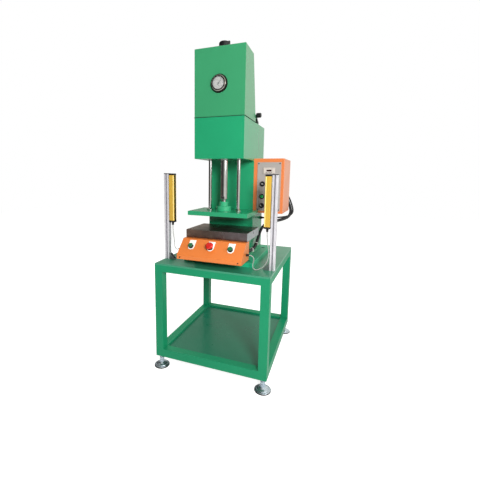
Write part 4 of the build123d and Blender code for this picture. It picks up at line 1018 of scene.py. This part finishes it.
def weldBead(start, end):
    # Rings along a straight line. Their radius falls in small steps over each ripple and narrows at the ends.
    start, end = np.array(start), np.array(end)
    perRipple, around = weldSettings["ringsPerRipple"], weldSettings["around"]
    count = int(np.linalg.norm(end - start) / (weldSettings["pitch"] / perRipple)) + 1
    numbers = np.arange(count + 1)
    side, up, _ = crossAxes(end - start)
    angles = np.linspace(0, 2 * math.pi, around, endpoint=False)
    ring = np.outer(np.cos(angles), side) + np.outer(np.sin(angles), up)
    radius = weldSettings["radius"] - weldSettings["ripple"] * (numbers % perRipple) / perRipple
    radius *= np.minimum(1, 0.3 + np.minimum(numbers, count - numbers) / 4)
    places = start + (end - start) * numbers[:, None] / count
    vertices = places[:, None, :] + ring * radius[:, None, None]
    faces = gridFaces(count + 1, around)
    for first in (0, count * around):
        faces.append([first + i for i in range(around)])
    return vertices.reshape(-1, 3), faces


weldZ, weldSide, weldBack = weldSettings["height"], weldSettings["side"], weldSettings["back"]
sideStart, sideEnd = weldSettings["sideEnds"]
beads = [weldBead((x, sideStart, weldZ), (x, sideEnd, weldZ)) for x in (weldSide, -weldSide)]
backHalf = weldSettings["backHalf"]
beads.append(weldBead((-backHalf, weldBack, weldZ), (backHalf, weldBack, weldZ)))
beadVertices, beadFaces = joined(beads)
newPiece("weldBeads", beadVertices, beadFaces, greenEnamel, "stand", "green_paint")
print("small pieces done")


# Studio: a white floor that keeps a soft shadow, and a room that is brighter on the machine's right
studioSettings = {
    "floorHalf": 9,
    "floorWhite": 0.8,
    "floorGloss": 0.35,
    "bright": (0.88, 0.28, 0.38),
    "dim": 0.06,
    "full": 0.95,
    "tint": (1.0, 0.985, 0.9, 1),
    "diffuseShare": 0.6,
    "lamps": {
        "keyLamp": {"place": (3.0, -1.7, 2.0), "size": 1.4, "watts": 24, "shine": True},
        "frontLamp": {"place": (1.73, -2.87, 2.0), "size": 0.9, "watts": 111, "shine": False},
        "glintLamp": {"place": (1.73, -2.87, 2.0), "size": 0.9, "watts": 30, "shine": True},
        "topLamp": {"place": (0.0, 0.4, 3.6), "size": 2.4, "watts": 25, "shine": False},
        "backLamp": {"place": (-2.3, 2.3, 2.2), "size": 2.0, "watts": 60, "shine": False},
    },
}


def shinyRays(material, path):
    # One for rays that come off gloss or through glass, else zero
    rays = {0: path.outputs["Is Glossy Ray"], 1: path.outputs["Is Transmission Ray"]}
    return addNode(material, "ShaderNodeMath", rays, operation="MAXIMUM").outputs[0]


def between(material, factor, low, high):
    values = {"Value": factor, "To Min": low, "To Max": high}
    return addNode(material, "ShaderNodeMapRange", values).outputs[0]


def makeFloor(settings):
    floorMaterial, floorShader = newMaterial("paleFloor", Roughness=0.9)
    greys = [(0.3, (0.50, 0.50, 0.50, 1)), (0.7, (0.53, 0.53, 0.53, 1))]
    tone = ramp(floorMaterial, grain(floorMaterial, 900), greys)
    floorMaterial.node_tree.links.new(tone, floorShader.inputs["Base Color"])
    path = addNode(floorMaterial, "ShaderNodeLightPath")
    gloss = between(floorMaterial, shinyRays(floorMaterial, path), 0.0, settings["floorGloss"])
    seen = between(floorMaterial, path.outputs["Is Camera Ray"], gloss, settings["floorWhite"])
    floorShader.inputs["Emission Color"].default_value = (1, 1, 1, 1)
    floorMaterial.node_tree.links.new(seen, floorShader.inputs["Emission Strength"])
    mesh = bpy.data.meshes.new("floor")
    half = settings["floorHalf"]
    corners = [(-half, -half, 0), (half, -half, 0), (half, half, 0), (-half, half, 0)]
    mesh.from_pydata(corners, [], [(0, 1, 2, 3)])
    mesh.materials.append(floorMaterial)
    floor = bpy.data.objects.new("floor", mesh)
    scene.collection.objects.link(floor)


def makeWorld(settings):
    # Camera rays see white. Other rays see a grey that grows from the left to the right and upwards.
    world = bpy.data.worlds.new("studio")
    world.use_nodes = True
    scene.world = world
    world.node_tree.nodes.clear()
    direction = addNode(world, "ShaderNodeTexCoord").outputs["Generated"]
    towards = {0: direction, 1: settings["bright"]}
    lean = addNode(world, "ShaderNodeVectorMath", towards, operation="DOT_PRODUCT")
    values = {
        "Value": lean.outputs["Value"],
        "From Min": -0.38,
        "From Max": 0.45,
        "To Min": settings["dim"],
        "To Max": settings["full"],
    }
    room = addNode(world, "ShaderNodeMapRange", values).outputs[0]
    path = addNode(world, "ShaderNodeLightPath")
    share = {0: room, 1: settings["diffuseShare"]}
    dimmed = addNode(world, "ShaderNodeMath", share, operation="MULTIPLY").outputs[0]
    lit = between(world, shinyRays(world, path), dimmed, room)
    strength = between(world, path.outputs["Is Camera Ray"], lit, 1.0)
    tint = mixed(world, path.outputs["Is Camera Ray"], settings["tint"], (1, 1, 1, 1))
    light = addNode(world, "ShaderNodeBackground", {"Color": tint, "Strength": strength})
    addNode(world, "ShaderNodeOutputWorld", {"Surface": light.outputs[0]})


def makeLamps(settings):
    # Square lamps aimed at the middle of the machine. A lamp without shine lights it but isn't seen in gloss.
    for name, values in settings["lamps"].items():
        lampData = bpy.data.lights.new(name, "AREA")
        lampData.size = values["size"]
        lampData.energy = values["watts"]
        lamp = bpy.data.objects.new(name, lampData)
        lamp.location = values["place"]
        aim = Vector((0, 0, 1.0)) - Vector(values["place"])
        lamp.rotation_euler = aim.to_track_quat("-Z", "Y").to_euler()
        lamp.visible_glossy = values["shine"]
        scene.collection.objects.link(lamp)


makeFloor(studioSettings)
makeWorld(studioSettings)
makeLamps(studioSettings)
scene.view_settings.view_transform = "Standard"
